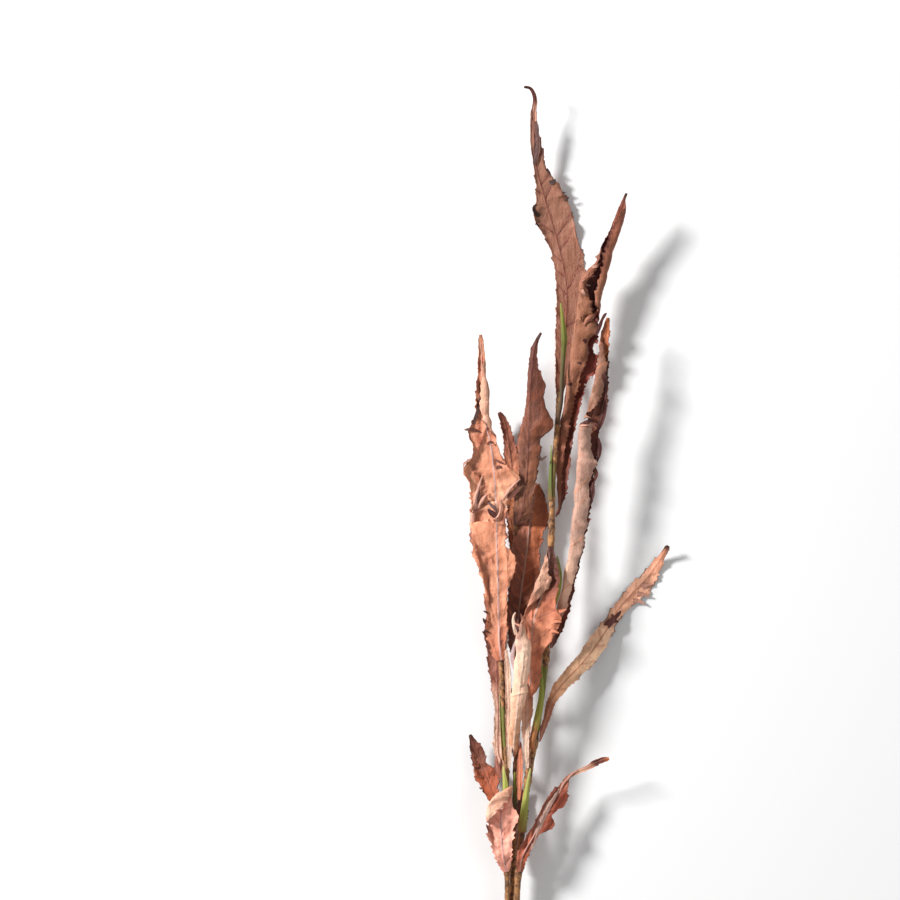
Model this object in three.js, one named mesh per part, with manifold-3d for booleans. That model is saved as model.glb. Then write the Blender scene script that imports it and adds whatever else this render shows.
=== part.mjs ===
// A dried, fern-like spray of long saw-toothed leaves on three taped stems, lying on a surface.
// Millimetres, +Z up. The spray runs along +Y from the cut end of its stem to its highest leaf tip.
import * as THREE from "three";
import { mergeVertices } from "three/addons/utils/BufferGeometryUtils.js";
import Module from "manifold-3d";

const wasm = await Module();
wasm.setup();

// Driving dimensions
const LEAF_THICKNESS = 0.9;
const SHEATH_THICKNESS = 0.8;
const RIB_RISE = 0.5; // the midrib stands this far out of the leaf's upper face
const SEAT_GAP = 0.4; // between a leaf's foot and the stem that carries it
const SHEATH_GAP = 0.9; // between a sheath and the stem that it wraps
const SHEATH_HALF_AT_FOOT = 3.2; // a sheath's half is at least this wide at its foot, and this at its tip
const SHEATH_HALF_AT_TIP = 0.6;
const SHEATH_OPENING = 0.8; // how fast a sheath opens: 1 is evenly along its length, less is later
const SHEATH_STATIONS = 6;
const MAIN_RADIUS_AT_CUT = 4.6;
const MAIN_RADIUS_AT_JOIN = 7;
const LEFT_RADIUS = 2.6;
const MIDDLE_RADIUS = 2.7;
const RIGHT_RADIUS = 3.3;
const STEM_TIP_SHARE = 0.82; // a branch's radius at its top, against its foot
const STEM_SIDES = 8;
const STEM_ROWS = 4; // between two places of a branch's path
const MAIN_STEM_SIDES = 10;
const MAIN_STEM_ROWS = 12;
const TAPE = 0x5a4128; // the brown of the tape wound round the stems
const KNOT_RISE = 0.8; // how far the wound tape swells a stem at a knot
const REST_CUT = 0.3; // how deep the flat at the main stem's cut end is, on which it rests
const CUT_UP = -180; // where the main stem is cut, measured from the lowest leaf's level
const JOIN_UP = -16; // where the three branches leave the bound main stem
const JOIN_GAP = 0.6; // between the main stem's top and the branches' feet
const WIDENS_FROM_UP = -110; // where the main stem starts to widen towards the branches
const TOOTH_LEAN = 1.6; // a tooth leans this many times its height towards the leaf's tip
const TOOTH_LEAST = 0.35; // the smallest and the largest tooth, as shares of a leaf's tooth height
const TOOTH_MOST = 1.25;
const TOOTH_SHARE_OF_HALF = 0.3; // no tooth is higher than this share of its half of the blade
const HALF_LEAST = 0.5; // the narrowest half of a blade, at a tip
const FULL_RUFFLE_HALF = 10; // a half narrower than this ruffles less
const FULL_RIB_HALF = 4; // and one narrower than this has a lower midrib
const CURL_MARGIN = 0.3; // how much longer a half is than the arc that its thickness fills
const FOLD_RADIUS = 2.6; // of the bend where a margin is folded over its blade
const FOLD_SHARE_OF_HALF = 0.4; // the bend's radius is at most this share of the half
const SLANT_STATIONS = 1.2; // a slanted tip slants over this many stations
const CALM_STEP = 3; // rows closer than this, as in a fold, have no teeth and no ruffle
const FULL_STEP = 7; // rows further apart than this have them in full

// The middle of the spray's outline, which becomes the part's origin on the surface
const MIDDLE_ACROSS = 54.7;
const MIDDLE_UP = 317.1;

const FORWARD = new THREE.Vector3(0, 0, 1); // away from the surface
const SECTION_STEPS = 24; // pieces in which the curve of a blade's half is added up; each half's cells divide it
const PATH_STEPS = 400; // places tried along a stem when one is looked for
const TANGENT_REACH = 0.05; // stations to either side over which a path's direction is taken
const radians = THREE.MathUtils.degToRad;

// Repeatable random numbers from 0 to 1
function seeded(seed) {
  let state = seed >>> 0;
  return () => {
    state = (Math.imul(state, 1664525) + 1013904223) >>> 0;
    return state / 4294967296;
  };
}

// One station of a leaf: its midrib's place (across, up, lift), how far its two halves reach to the sides,
// how far each half curls up from the surface in degrees, the turn of the whole blade to the right,
// and how much of each half its folded margin covers
function at(across, up, lift, left, right, curlLeft = 0, curlRight = 0, turn = 0, overLeft = 0, overRight = 0) {
  return [across, up, lift, left, right, curlLeft, curlRight, turn, overLeft, overRight];
}

// The smooth value of one column of the stations, at u stations from the foot
function smooth(stations, column, u) {
  const last = stations.length - 1;
  const i = Math.min(Math.floor(u), last - 1);
  const f = u - i;
  const value = (k) => stations[THREE.MathUtils.clamp(k, 0, last)][column];
  const [a, b, c, d] = [value(i - 1), value(i), value(i + 1), value(i + 2)];
  const rise = (c - a) / 2;
  const fall = (d - b) / 2;
  const cubic = (2 * b - 2 * c + rise + fall) * f + (3 * c - 3 * b - 2 * rise - fall);
  return (cubic * f + rise) * f + b;
}

// Points along a path of stations, each with its own unturned side, face and forward direction
function framesAlong(stations, rows) {
  const last = stations.length - 1;
  const place = (u) => new THREE.Vector3(...[0, 1, 2].map((c) => smooth(stations, c, u)));
  const frames = [];
  for (let r = 0; r <= rows; r++) {
    const u = (last * r) / rows;
    const before = place(Math.max(u - TANGENT_REACH, 0));
    const tangent = place(Math.min(u + TANGENT_REACH, last)).sub(before).normalize();
    const side = r ? frames[r - 1].side.clone() : tangent.clone().cross(FORWARD);
    side.addScaledVector(tangent, -side.dot(tangent)).normalize();
    frames.push({ u, point: place(u), tangent, side, face: side.clone().cross(tangent) });
  }
  return frames;
}

// How one half of a blade bends outwards: a growing curl, and then the bend that folds its margin over
function halfBend({ reach, curl, over, roll, round }, power) {
  const radius = Math.min(roll, reach * FOLD_SHARE_OF_HALF);
  const folded = Math.min(over / radius, 1);
  const flat = reach - radius * folded;
  const bend = Math.PI * radius * folded;
  const flap = Math.max(over - radius, 0);
  const slopeAt = (distance) => {
    const bent = bend ? THREE.MathUtils.clamp((distance - flat) / bend, 0, 1) : 0;
    const onFlap = THREE.MathUtils.clamp(distance - flat - bend, 0, flap);
    const plain = curl * Math.pow(Math.min(distance / flat, 1), power);
    return plain + (Math.PI - curl) * folded * bent + radians(round) * onFlap;
  };
  return { length: flat + bend + flap, slopeAt };
}

// The section of one half of a blade: how far out and how high each of its points is, and how it slopes there
function halfSection(half, cells, power) {
  const { length, slopeAt } = halfBend(half, power);
  const step = (length + half.tooth) / SECTION_STEPS;
  const steps = [{ out: 0, high: 0 }];
  let widest = 0;
  for (let k = 1; k <= SECTION_STEPS; k++) {
    const slope = slopeAt(step * (k - 0.5));
    const { out, high } = steps[k - 1];
    steps.push({ out: out + Math.cos(slope) * step, high: high + Math.sin(slope) * step });
    if (step * k <= length + step / 2) widest = Math.max(widest, steps[k].out);
  }
  const scale = half.reach / widest;
  return Array.from({ length: cells + 1 }, (_, c) => {
    const { out, high } = steps[(c * SECTION_STEPS) / cells];
    return { out: out * scale, high: high * scale, slope: slopeAt(((length + half.tooth) * c) / cells) };
  });
}

// A closed solid from a grid of points on an upper and a lower face
function solidFromGrid(upper, lower) {
  const rows = upper.length;
  const columns = upper[0].length;
  const points = [...upper.flat(), ...lower.flat()];
  const front = (r, c) => r * columns + c;
  const back = (r, c) => rows * columns + front(r, c);
  const faces = [];
  const quad = (a, b, c, d) => faces.push(a, b, c, a, c, d);
  for (let r = 0; r < rows - 1; r++) {
    for (let c = 0; c < columns - 1; c++) {
      quad(front(r, c), front(r, c + 1), front(r + 1, c + 1), front(r + 1, c));
      faces.push(back(r, c), back(r + 1, c + 1), back(r, c + 1));
      faces.push(back(r, c), back(r + 1, c), back(r + 1, c + 1));
    }
    const end = columns - 1;
    quad(front(r, 0), front(r + 1, 0), back(r + 1, 0), back(r, 0));
    quad(front(r + 1, end), front(r, end), back(r, end), back(r + 1, end));
  }
  for (let c = 0; c < columns - 1; c++) {
    const top = rows - 1;
    quad(front(0, c + 1), front(0, c), back(0, c), back(0, c + 1));
    quad(front(top, c), front(top, c + 1), back(top, c + 1), back(top, c));
  }
  const geometry = new THREE.BufferGeometry().setFromPoints(points);
  geometry.setIndex(faces);
  return geometry;
}

// How a blade's two halves reach, curl and fold in one row; odd rows carry the teeth
function halvesInRow({ stations, teeth, ruffle, waves, thickness, roll, round }, u, odd, open, phases, random) {
  const angle = (u / (stations.length - 1)) * waves * Math.PI * 2;
  return phases.map((phase, half) => {
    const height = TOOTH_LEAST + random() * (TOOTH_MOST - TOOTH_LEAST);
    const reach = Math.max(smooth(stations, 3 + half, u), HALF_LEAST);
    const tooth = odd ? height * open * Math.min(teeth, reach * TOOTH_SHARE_OF_HALF) : 0;
    const calm = Math.min(reach / FULL_RUFFLE_HALF, 1) * open;
    const wanted = radians(smooth(stations, 5 + half, u) + ruffle * Math.sin(angle + phase) * calm);
    const tightest = Math.max(reach + tooth - CURL_MARGIN, 0) / thickness;
    const over = Math.max(smooth(stations, 8 + half, u), 0);
    return { reach, tooth, curl: THREE.MathUtils.clamp(wanted, -tightest, tightest), over, roll, round };
  });
}

// The points of one row of a blade, on its upper and on its lower face
function bladeRow({ stations, cells, thickness, power, rib, slant }, frame, halves) {
  const { u, point, tangent, side, face } = frame;
  const last = stations.length - 1;
  const turn = radians(smooth(stations, 7, u));
  const across = side.clone().multiplyScalar(Math.cos(turn)).addScaledVector(face, -Math.sin(turn));
  const away = face.clone().multiplyScalar(Math.cos(turn)).addScaledVector(side, Math.sin(turn));
  const sections = halves.map((half, which) => halfSection(half, cells[which], power));
  const slanted = slant * THREE.MathUtils.smoothstep(u, last - SLANT_STATIONS, last);
  const upper = [];
  const lower = [];
  for (let c = -cells[0]; c <= cells[1]; c++) {
    const sign = c < 0 ? -1 : 1;
    const half = c < 0 ? 0 : 1;
    const share = Math.abs(c) / cells[half];
    const { out, high, slope } = sections[half][Math.abs(c)];
    const ahead = share * share * (halves[half].tooth * TOOTH_LEAN + slanted);
    const middle = point.clone().addScaledVector(across, sign * out).addScaledVector(away, high);
    middle.addScaledVector(tangent, ahead);
    const normal = away.clone().multiplyScalar(Math.cos(slope)).addScaledVector(across, -sign * Math.sin(slope));
    const ribHere = c === 0 ? rib * Math.min(u, 1) * Math.min(halves[half].reach / FULL_RIB_HALF, 1) : 0;
    upper.push(middle.clone().addScaledVector(normal, thickness / 2 + ribHere));
    lower.push(middle.clone().addScaledVector(normal, -thickness / 2));
  }
  return { upper, lower };
}

const PLAIN_BLADE = {
  cells: [3, 3], rowsEach: 3, teeth: 0, ruffle: 0, waves: 3, seed: 1,
  thickness: LEAF_THICKNESS, power: 1.3, rib: RIB_RISE, roll: FOLD_RADIUS, round: 0, slant: 0,
};

// A blade: a thin leaf whose halves curl, ruffle and end in saw teeth
function blade(plan) {
  const leaf = { ...PLAIN_BLADE, ...plan };
  const rows = (leaf.stations.length - 1) * leaf.rowsEach;
  const random = seeded(leaf.seed);
  const phases = [random() * Math.PI * 2, random() * Math.PI * 2];
  const frames = framesAlong(leaf.stations, rows);
  const made = frames.map((frame, r) => {
    const step = frame.point.distanceTo(frames[r ? r - 1 : 1].point);
    const open = THREE.MathUtils.clamp((step - CALM_STEP) / (FULL_STEP - CALM_STEP), 0, 1);
    return bladeRow(leaf, frame, halvesInRow(leaf, frame.u, r % 2 === 1, open, phases, random));
  });
  return solidFromGrid(made.map((row) => row.upper), made.map((row) => row.lower));
}

// Taped stems: each path gives across, up and lift, and each knot how high it sits and how long it is
const STEMS = {
  left: {
    radius: LEFT_RADIUS,
    path: [[-4.5, JOIN_UP, 22], [-4.9, 28, 23.8], [-5, 86, 26], [-5.7, 128, 27.8], [-8, 172, 29.3],
      [-10, 222, 30], [-11, 243, 30]],
    knots: [[28, 14], [86, 16], [128, 14], [222, 40]],
  },
  middle: {
    radius: MIDDLE_RADIUS,
    path: [[-1, JOIN_UP, 16.5], [2, 60, 18], [4, 130, 22], [6, 195, 23], [4, 290, 14], [3, 340, 13],
      [4, 374, 14.5]],
    knots: [[130, 16], [195, 14], [340, 14]],
  },
  right: {
    radius: RIGHT_RADIUS,
    path: [[3.5, JOIN_UP, 22], [6.6, 28, 23.6], [10, 70, 25], [16.4, 124, 27.2], [22.6, 157, 28.5],
      [29, 200, 29.6], [34, 245, 30], [36, 300, 30], [39.3, 364, 29], [41, 420, 28], [45, 470, 26],
      [48, 508, 23]],
    knots: [[28, 14], [124, 20], [157, 12], [245, 16], [364, 34], [500, 16]],
  },
};

function stemRadius(stem, up) {
  const top = stem.path[stem.path.length - 1][1];
  const share = (up - JOIN_UP) / (top - JOIN_UP);
  const taper = THREE.MathUtils.lerp(1, STEM_TIP_SHARE, THREE.MathUtils.clamp(share, 0, 1));
  const swell = stem.knots.map(([at, long]) => Math.exp(-Math.pow((up - at) / (long * 0.5), 4)));
  return stem.radius * taper + KNOT_RISE * Math.max(0, ...swell);
}

function stemPlace(stem, up) {
  const last = stem.path.length - 1;
  let u = 0;
  while (u < last && smooth(stem.path, 1, u) < up) u += last / PATH_STEPS;
  return new THREE.Vector3(...[0, 1, 2].map((c) => smooth(stem.path, c, u)));
}

// A closed tube whose radius changes along its path
function taperedTube(path, radiusAt, rows, sides) {
  const frames = framesAlong(path, rows);
  const points = [];
  const faces = [];
  for (const { point, side, face } of frames) {
    const radius = radiusAt(point.y);
    for (let s = 0; s < sides; s++) {
      const angle = (Math.PI * 2 * (s + 0.5)) / sides;
      const rim = side.clone().multiplyScalar(Math.cos(angle)).addScaledVector(face, Math.sin(angle));
      points.push(point.clone().addScaledVector(rim, radius));
    }
  }
  points.push(frames[0].point, frames[rows].point);
  const foot = points.length - 2;
  for (let s = 0; s < sides; s++) {
    const next = (s + 1) % sides;
    for (let r = 0; r < rows; r++) {
      const [a, b] = [r * sides + s, r * sides + next];
      faces.push(a, b + sides, b, a, a + sides, b + sides);
    }
    faces.push(foot, s, next, foot + 1, rows * sides + next, rows * sides + s);
  }
  const geometry = new THREE.BufferGeometry().setFromPoints(points);
  geometry.setIndex(faces);
  return geometry;
}

// The turn that lays a blade against a stem's skin, which is 0 for one in front of or behind it
function turnAgainst(around) {
  return Math.abs(around) > 90 ? around - 180 * Math.sign(around) : around;
}

// A station on the skin of a stem; around turns from the front of the stem to its right
function seat(name, up, around, left, right, curl) {
  const stem = STEMS[name];
  const centre = stemPlace(stem, up);
  const reach = stemRadius(stem, up) + SEAT_GAP + LEAF_THICKNESS / 2;
  const across = centre.x + Math.sin(radians(around)) * reach;
  const high = centre.z + Math.cos(radians(around)) * reach;
  return at(across, up, high, left, right, curl, curl, turnAgainst(around));
}

// The leaves, from the highest to the lowest. Heights are measured from the level of the lowest leaf's foot.
// A leaf's roll is the radius to which its margins roll, where it is rounder than the plain fold, and its
// round is how many degrees further the rolled margin curves on towards the blade in each mm.
const LEAVES = [
  {
    name: "leaf_tall_flat", colour: 0xb07c68, seed: 11, teeth: 2.2, ruffle: 6, waves: 5,
    stations: [
      seat("right", 504, 180, 3, 3, 40),
      at(51, 540, 10, 7, 9, 12, 16),
      at(54.5, 575, 4, 9.5, 17, 8, 10),
      at(55.5, 608, 0.6, 10, 18.5, 5, 5),
      at(52.5, 632, 0.3, 8.5, 20, 4, 4),
      at(46, 660, 0.6, 9, 20, 6, 6),
      at(38, 687, 4, 15.5, 21, 20, 12),
      at(31, 710, 8.5, 6, 16.8, 20, 14),
      at(25.5, 730, 13, 3, 9, 30, 16),
      at(23, 748, 17, 3, 8, 30, 20),
      at(22, 766, 20, 3.5, 5, 30, 60),
      at(22, 786, 24, 3, 2.4, 40, 60),
      at(23, 801, 28, 2, 2, 20, 20),
      at(19, 811, 30, 1.6, 1.6, 10, 10),
      at(12, 813, 31, 1.2, 1.2),
    ],
  },
  {
    name: "leaf_tall_rolled", colour: 0x9c5a4a, seed: 23,
    teeth: 2, ruffle: 4, waves: 5, cells: [6, 4], rowsEach: 2, roll: 3.4, round: 1,
    stations: [
      seat("right", 384, 80, 2.4, 3, 20),
      at(47, 397, 23.6, 2.6, 4, 0, 40, 50, 2),
      at(49, 420, 20.4, 5, 6.5, 10, 60, 0, 5),
      at(52.5, 450, 19.4, 7, 6.5, 10, 60, 0, 6.5),
      at(57, 480, 18.4, 8.2, 8, 8, 60, 0, 8),
      at(61, 504, 18.4, 8, 9, 6, 50, 0, 9.5),
      at(64.5, 522, 19.6, 10, 14, 14, 30, 0, 11.5),
      at(68, 540, 20, 11, 17, 24, 20, 0, 15),
      at(71.5, 557, 20.5, 11.5, 14.5, 24, 20, 0, 13.5),
      at(75, 576, 21, 12.5, 10.5, 24, 30, 0, 20),
      at(77.5, 589, 22, 13, 10, 20, 30, 0, 15, 2),
      at(79, 602, 23, 12, 10, 16, 30, 0, 8.5, 4),
      at(81.5, 614, 24, 15, 10, 14, 30, 0, 6, 5),
      at(85.5, 625, 25, 12.5, 9.5, 14, 30, 0, 6.5, 5.5),
      at(89.5, 637, 26.5, 6.5, 8.8, 14, 30, 0, 2.6, 6),
      at(93.5, 651, 28.5, 5, 8.4, 14, 26, 0, 1, 6),
      at(98.5, 665, 31.5, 2.5, 8.2, 20, 24, 0, 0, 6.2),
      at(105, 683, 36, 2, 7, 20, 24, 0, 0, 5),
      at(109.5, 694, 40, 2, 4.4, 20, 30, 0, 0, 1.4),
      at(111.5, 700, 43, 1.4, 1.6),
      at(114, 706, 47, 1.2, 1.2),
    ],
  },
  {
    name: "leaf_right_rolled", colour: 0xcfae9c, seed: 37,
    teeth: 2.2, ruffle: 4, waves: 6, cells: [6, 3], rowsEach: 2, roll: 4.2, round: 5,
    stations: [
      seat("right", 252, 75, 3, 3, 30),
      at(41, 262, 33, 4, 4.5, 20, 30, 20, 2),
      at(46.5, 282, 34, 4.5, 7.5, 20, 30, 0, 6),
      at(52, 300, 35, 5, 6.5, 20, 30, 0, 8),
      at(56, 319, 36, 5.5, 6, 24, 30, 0, 8.5),
      at(61.5, 341, 37, 6.5, 6.8, 24, 24, 0, 10.5),
      at(65.5, 364, 38, 7, 7, 24, 24, 0, 12),
      at(68.5, 387, 38.5, 8, 7.8, 24, 24, 0, 13.5),
      at(70.5, 408, 39, 8, 9.5, 24, 20, 0, 12.5),
      at(72.5, 426, 39.5, 8.8, 8.5, 24, 20, 0, 14),
      at(74, 444, 40, 9.8, 10, 24, 20, 0, 16),
      at(75.5, 459, 40, 9.8, 10.5, 24, 16, 0, 10.5),
      at(77.5, 473, 40.5, 10.5, 7, 24, 16, 0, 10.5),
      at(80.5, 484, 41, 7, 10, 16, 14, 0, 2),
      at(83.5, 494, 41.5, 7.5, 10.5, 16, 14, 0, 6),
      at(86, 506, 42, 7.5, 8.5, 20, 12, 0, 9.5),
      at(88.5, 523, 43, 6.8, 6.2, 20, 12, 0, 9.5),
      at(90.5, 543, 44, 4.5, 4.5, 20, 20, 0, 5),
      at(92, 560, 45, 4, 4.2, 20, 20, 0, 1),
      at(94, 572, 46, 3, 3, 20, 20),
      at(95.5, 582, 48, 1.4, 1.4),
    ],
  },
  {
    name: "leaf_centre_dark", colour: 0x825242, seed: 41, teeth: 2, ruffle: 7, waves: 4,
    stations: [
      seat("middle", 374, 0, 3, 3, -40),
      at(9.5, 387, 28.5, 8, 9.5, -4, -4),
      at(13, 407, 31.5, 7.5, 8, -18, -18),
      at(15, 426, 33.5, 7, 9, -26, -20),
      at(16, 444, 35, 9.5, 11.5, -30, -20),
      at(16.5, 462, 36, 10, 13, -30, -22),
      at(17, 475, 37, 6.5, 23.5, -26, -22),
      at(17.5, 489, 37.5, 4.5, 17, -26, -22),
      at(18, 503, 38, 3.2, 13, -24, -24),
      at(18.5, 515, 38.5, 3.2, 14.5, -24, -24),
      at(19.5, 532, 39, 3, 6, -24, -30),
      at(22, 550, 40, 3, 3, -10, -20),
      at(25, 559, 40.5, 2.2, 1.6),
      at(29, 567, 41, 1.1, 1.1),
    ],
  },
  {
    name: "leaf_centre_back", colour: 0x75483a, seed: 53, teeth: 2.2, ruffle: 6, waves: 3,
    stations: [
      seat("middle", 238, 0, 3, 3, -40),
      at(5, 258, 24.6, 7.4, 6.6, -14, -8),
      at(6.5, 281, 22.8, 11, 10, -4, -2),
      at(9, 306, 21, 12, 12.5, 6, 4),
      at(13, 334, 20.5, 12.5, 13.5, 6, -8),
      at(16, 358, 18.6, 13, 12.5, 2, -12),
      at(18.5, 380, 16.2, 5.4, 17, 0, -18),
      at(21, 397, 15.6, 4, 14, 0, -16),
      at(24.5, 410, 15, 3, 7, 4, -6),
      at(27, 416, 15, 1.1, 1.1),
    ],
  },
  {
    name: "leaf_centre_curled", colour: 0x5d3628, seed: 61, teeth: 2.4, ruffle: 10, waves: 3, rowsEach: 2,
    stations: [
      seat("middle", 335, 180, 3, 3, 36),
      at(4, 365, 6, 7, 6, 14, 14),
      at(3, 400, 2, 7.7, 7.7, 14, 14),
      at(0, 436, 0.3, 6.8, 7.7, 10, 10),
      at(-3.5, 460, 3.5, 4.5, 5, 24, 24),
      at(-7, 478, 9.5, 4.5, 3.5, 40, 40),
      at(-13, 488, 16, 1.4, 1.4),
    ],
  },
  {
    name: "leaf_left_broad", colour: 0xe8a888, seed: 71,
    teeth: 2.2, ruffle: 6, waves: 7, cells: [3, 4], rowsEach: 2,
    stations: [
      seat("left", 240, 0, 5, 4, -30),
      at(-12.5, 256, 34.5, 10.5, 6, -6, -4),
      at(-13.5, 285, 35, 12, 8, 14, 10),
      at(-14, 312, 35.5, 13, 9, 16, 12),
      at(-14.5, 334, 36, 18.5, 17.5, 14, 14),
      at(-15.5, 354, 37, 24, 10, 12, 10),
      at(-15.5, 369, 38, 25.5, 9, 2, 2),
      at(-15.5, 377, 35.5, 25.5, 8.5),
      at(-15.5, 371, 32.5, 24, 8.5),
      at(-15.5, 378, 29.5, 24, 8.5),
      at(-16, 396, 31, 25, 10, 12, 8),
      at(-17, 412, 33, 24.5, 16, 18, 12),
      at(-17.5, 421, 34, 26, 24.5, 20, 10),
      at(-18.5, 432, 35.5, 30.5, 14, 22, 16),
      at(-20, 446, 37, 19.5, 9, 20, 20, 0, 0, 0.5),
      at(-22.5, 460, 38, 17.5, 7.4, 20, 14, 0, 0, 1.4),
      at(-25.5, 472, 39, 19, 6, 20, 20, 0, 0, 3.4),
      at(-27.5, 485, 40, 10, 5.5, 30, 16, 0, 0, 7),
      at(-29, 502, 41.5, 7, 5, 50, 16, 0, 0, 7),
      at(-30, 524, 43, 4, 4, 50, 16, 0, 0, 3.4),
      at(-30.5, 546, 45, 3, 3, 60, 60),
      at(-31.5, 565, 47, 1.4, 1.4),
    ],
  },
  {
    name: "leaf_left_back", colour: 0xb98a72, seed: 83, teeth: 2, ruffle: 8, waves: 3, rowsEach: 2,
    stations: [
      seat("left", 126, 180, 3, 3, 40),
      at(-13, 145, 18.5, 3.8, 3.4, 20, 20),
      at(-14, 162, 15, 3.8, 4, 14, 14),
      at(-13.5, 190, 10, 3.4, 4.2, 14, 14),
      at(-15, 220, 4, 6, 6, 8, 8),
      at(-16, 248, 0.3, 8, 8, 6, 6),
      at(-17, 274, 2, 9.7, 7, 30, 14),
      at(-18, 298, 6, 3, 3, 40, 10),
      at(-17, 310, 9, 1.2, 1.2),
    ],
  },
  {
    name: "leaf_centre_toothed", colour: 0xc98a70, seed: 97,
    teeth: 3.2, ruffle: 7, waves: 4, cells: [4, 3], roll: 3.4, round: 3,
    stations: [
      seat("middle", 190, 0, 3, 3, -40),
      at(17.5, 214, 32, 5, 8, 6, 6),
      at(18, 232, 37, 7, 10.5, 8, 8),
      at(18.5, 250, 40, 8, 12.5, 10, 10),
      at(20, 266, 42, 8.5, 21, 12, 12),
      at(22, 280, 43, 9, 25.5, 14, 14, 0, 0.6),
      at(25, 292, 43, 9.3, 25, 20, 16, 0, 2),
      at(29, 303, 43, 9, 16, 20, 30, 0, 9),
      at(33, 317, 43, 8.5, 14, 20, 40, 0, 12.5),
      at(35.5, 331, 43.5, 6.8, 10.5, 20, 50, 0, 7),
      at(37.5, 344, 44, 4.6, 5.5, 20, 40, 0, 1.7),
      at(38, 354, 45, 2, 2),
    ],
  },
  {
    name: "leaf_front_rolled", colour: 0xeed4c0, seed: 101,
    teeth: 0.8, ruffle: 4, waves: 3, cells: [4, 4], slant: 10,
    stations: [
      seat("middle", 143, -55, 2.4, 2.4, -30),
      at(2, 160, 36, 4, 4, -100, -100),
      at(4, 182, 46, 5.5, 5.5, -140, -140),
      at(6.5, 207, 52, 6.2, 6.4, -158, -158),
      at(10, 232, 55, 6.6, 7, -162, -162),
      at(11, 252, 56.5, 6.2, 7, -162, -162),
      at(8.5, 266, 57.5, 4.8, 5.4, -162, -162),
      at(7, 277, 58, 4.6, 4.6, -160, -160),
    ],
  },
  {
    name: "leaf_front_strip", colour: 0xdcb8a0, seed: 107,
    teeth: 1, ruffle: 6, waves: 2, cells: [2, 2], rowsEach: 2,
    stations: [
      seat("right", 134, -25, 2.4, 2.4, -30),
      at(14, 158, 35, 2.8, 2.8, 20, 20),
      at(14, 178, 37, 4, 4.4, 30, 30),
      at(14.5, 195, 38, 4.6, 6, 30, 30),
      at(14.8, 207, 38.5, 4, 3.8, 30, 30),
      at(15, 216, 39, 1.5, 1.5),
    ],
  },
  {
    name: "leaf_right_low", colour: 0xd9ae98, seed: 113,
    teeth: 3, ruffle: 6, waves: 5, cells: [4, 4], rowsEach: 2,
    stations: [
      seat("right", 158, 85, 3, 3, 10),
      at(33.5, 180, 28, 2.4, 3.4, -20, -20, 10),
      at(41, 202, 27, 4, 4.4, -40, -40),
      at(51, 216, 25, 6.2, 6.2, -60, -50),
      at(67, 233, 21.5, 7.2, 7.4, -70, -60),
      at(81, 249, 17, 7.8, 7.8, -70, -60),
      at(91, 263, 13, 7.4, 7.2, -60, -60),
      at(99, 277, 9, 5.6, 6.2, -50, -50),
      at(108, 291, 5.5, 5, 6, -40, -30),
      at(121, 306, 2.6, 5.8, 9, -30, -12),
      at(133, 318, 1.6, 5.8, 10, -20, -6),
      at(142, 330, 2.2, 4.6, 6, -20, -10),
      at(150, 342, 6, 3, 3.4, -10, -10),
      at(157, 354, 14, 1.6, 1.6),
    ],
  },
  {
    name: "leaf_base_left", colour: 0x8f5040, seed: 127, teeth: 3.4, ruffle: 6, waves: 2, rowsEach: 2,
    stations: [
      seat("left", 86, -90, 3, 3, 10),
      at(-18, 103, 22, 6, 5, 14, 14, -10),
      at(-23.5, 117, 19, 8.5, 10, 18, 18),
      at(-28, 128, 16.5, 9.4, 10, 20, 20),
      at(-30.5, 135, 15.5, 8, 5, 20, 20),
      at(-34.5, 147, 15, 6, 6.5, 24, 24),
      at(-39, 157, 16, 3, 3.6, 26, 26),
      at(-42, 165, 18, 1.2, 1.2),
    ],
  },
  {
    name: "leaf_base_front", colour: 0xe0a08a, seed: 131,
    teeth: 2.4, ruffle: 5, waves: 3, cells: [4, 3], rowsEach: 2,
    stations: [
      seat("left", 28, -10, 3.5, 3, -36),
      at(-8.5, 44, 33, 7.5, 8, 8, 8),
      at(-10, 58, 36, 10.5, 10.5, 12, 10),
      at(-11, 71, 38, 13.5, 13, 14, 8, 0, 0.7),
      at(-11.5, 79, 39, 15, 19, 18, 8, 0, 1.6),
      at(-11.2, 87, 40, 16, 17.5, 20, 8, 0, 8),
      at(-9.5, 96, 41.2, 14.6, 11, 20, 8, 0, 16),
      at(-6.5, 104, 42.6, 10.6, 6.5, 20, 8, 0, 12),
      at(-3, 110, 44, 5.5, 3, 20, 10, 0, 5),
      at(-0.5, 115, 45, 1.4, 1.4, 20, 10, 0, 0.9),
    ],
  },
  {
    name: "leaf_base_right", colour: 0xb5705c, seed: 137, teeth: 2.2, ruffle: 5, waves: 4, rowsEach: 2,
    stations: [
      seat("right", 28, 20, 3, 3, -30),
      at(10, 42, 32, 5, 4.6, 20, 20),
      at(18, 58, 32, 6.5, 3.2, 30, 14),
      at(23, 66.5, 31.2, 6.5, 3.6, 36, 8),
      at(29.5, 78.5, 29, 6.5, 12.8, 42, 4),
      at(32.6, 84, 28.2, 6.8, 10.8, 46, 4),
      at(34.4, 87.2, 27.8, 7, 6.6, 50, 4),
      at(38.5, 94.5, 26.8, 7, 8.4, 50, 6),
      at(43, 101, 26, 6.5, 11.5, 50, 6),
      at(50, 112, 25.5, 3.6, 6, 40, 20),
      at(56, 122, 27, 2, 2, 30, 30),
      at(65, 128, 29.5, 2, 2.2, 30, 30),
      at(76, 133, 32, 2.2, 2.4, 30, 30),
      at(86, 139, 33.5, 3, 3, 40, 30),
      at(97, 142, 35, 1.2, 1.2),
    ],
  },
  {
    name: "leaf_base_back", colour: 0x5a3028, seed: 139, teeth: 1.6, ruffle: 6, waves: 2, rowsEach: 2,
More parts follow.
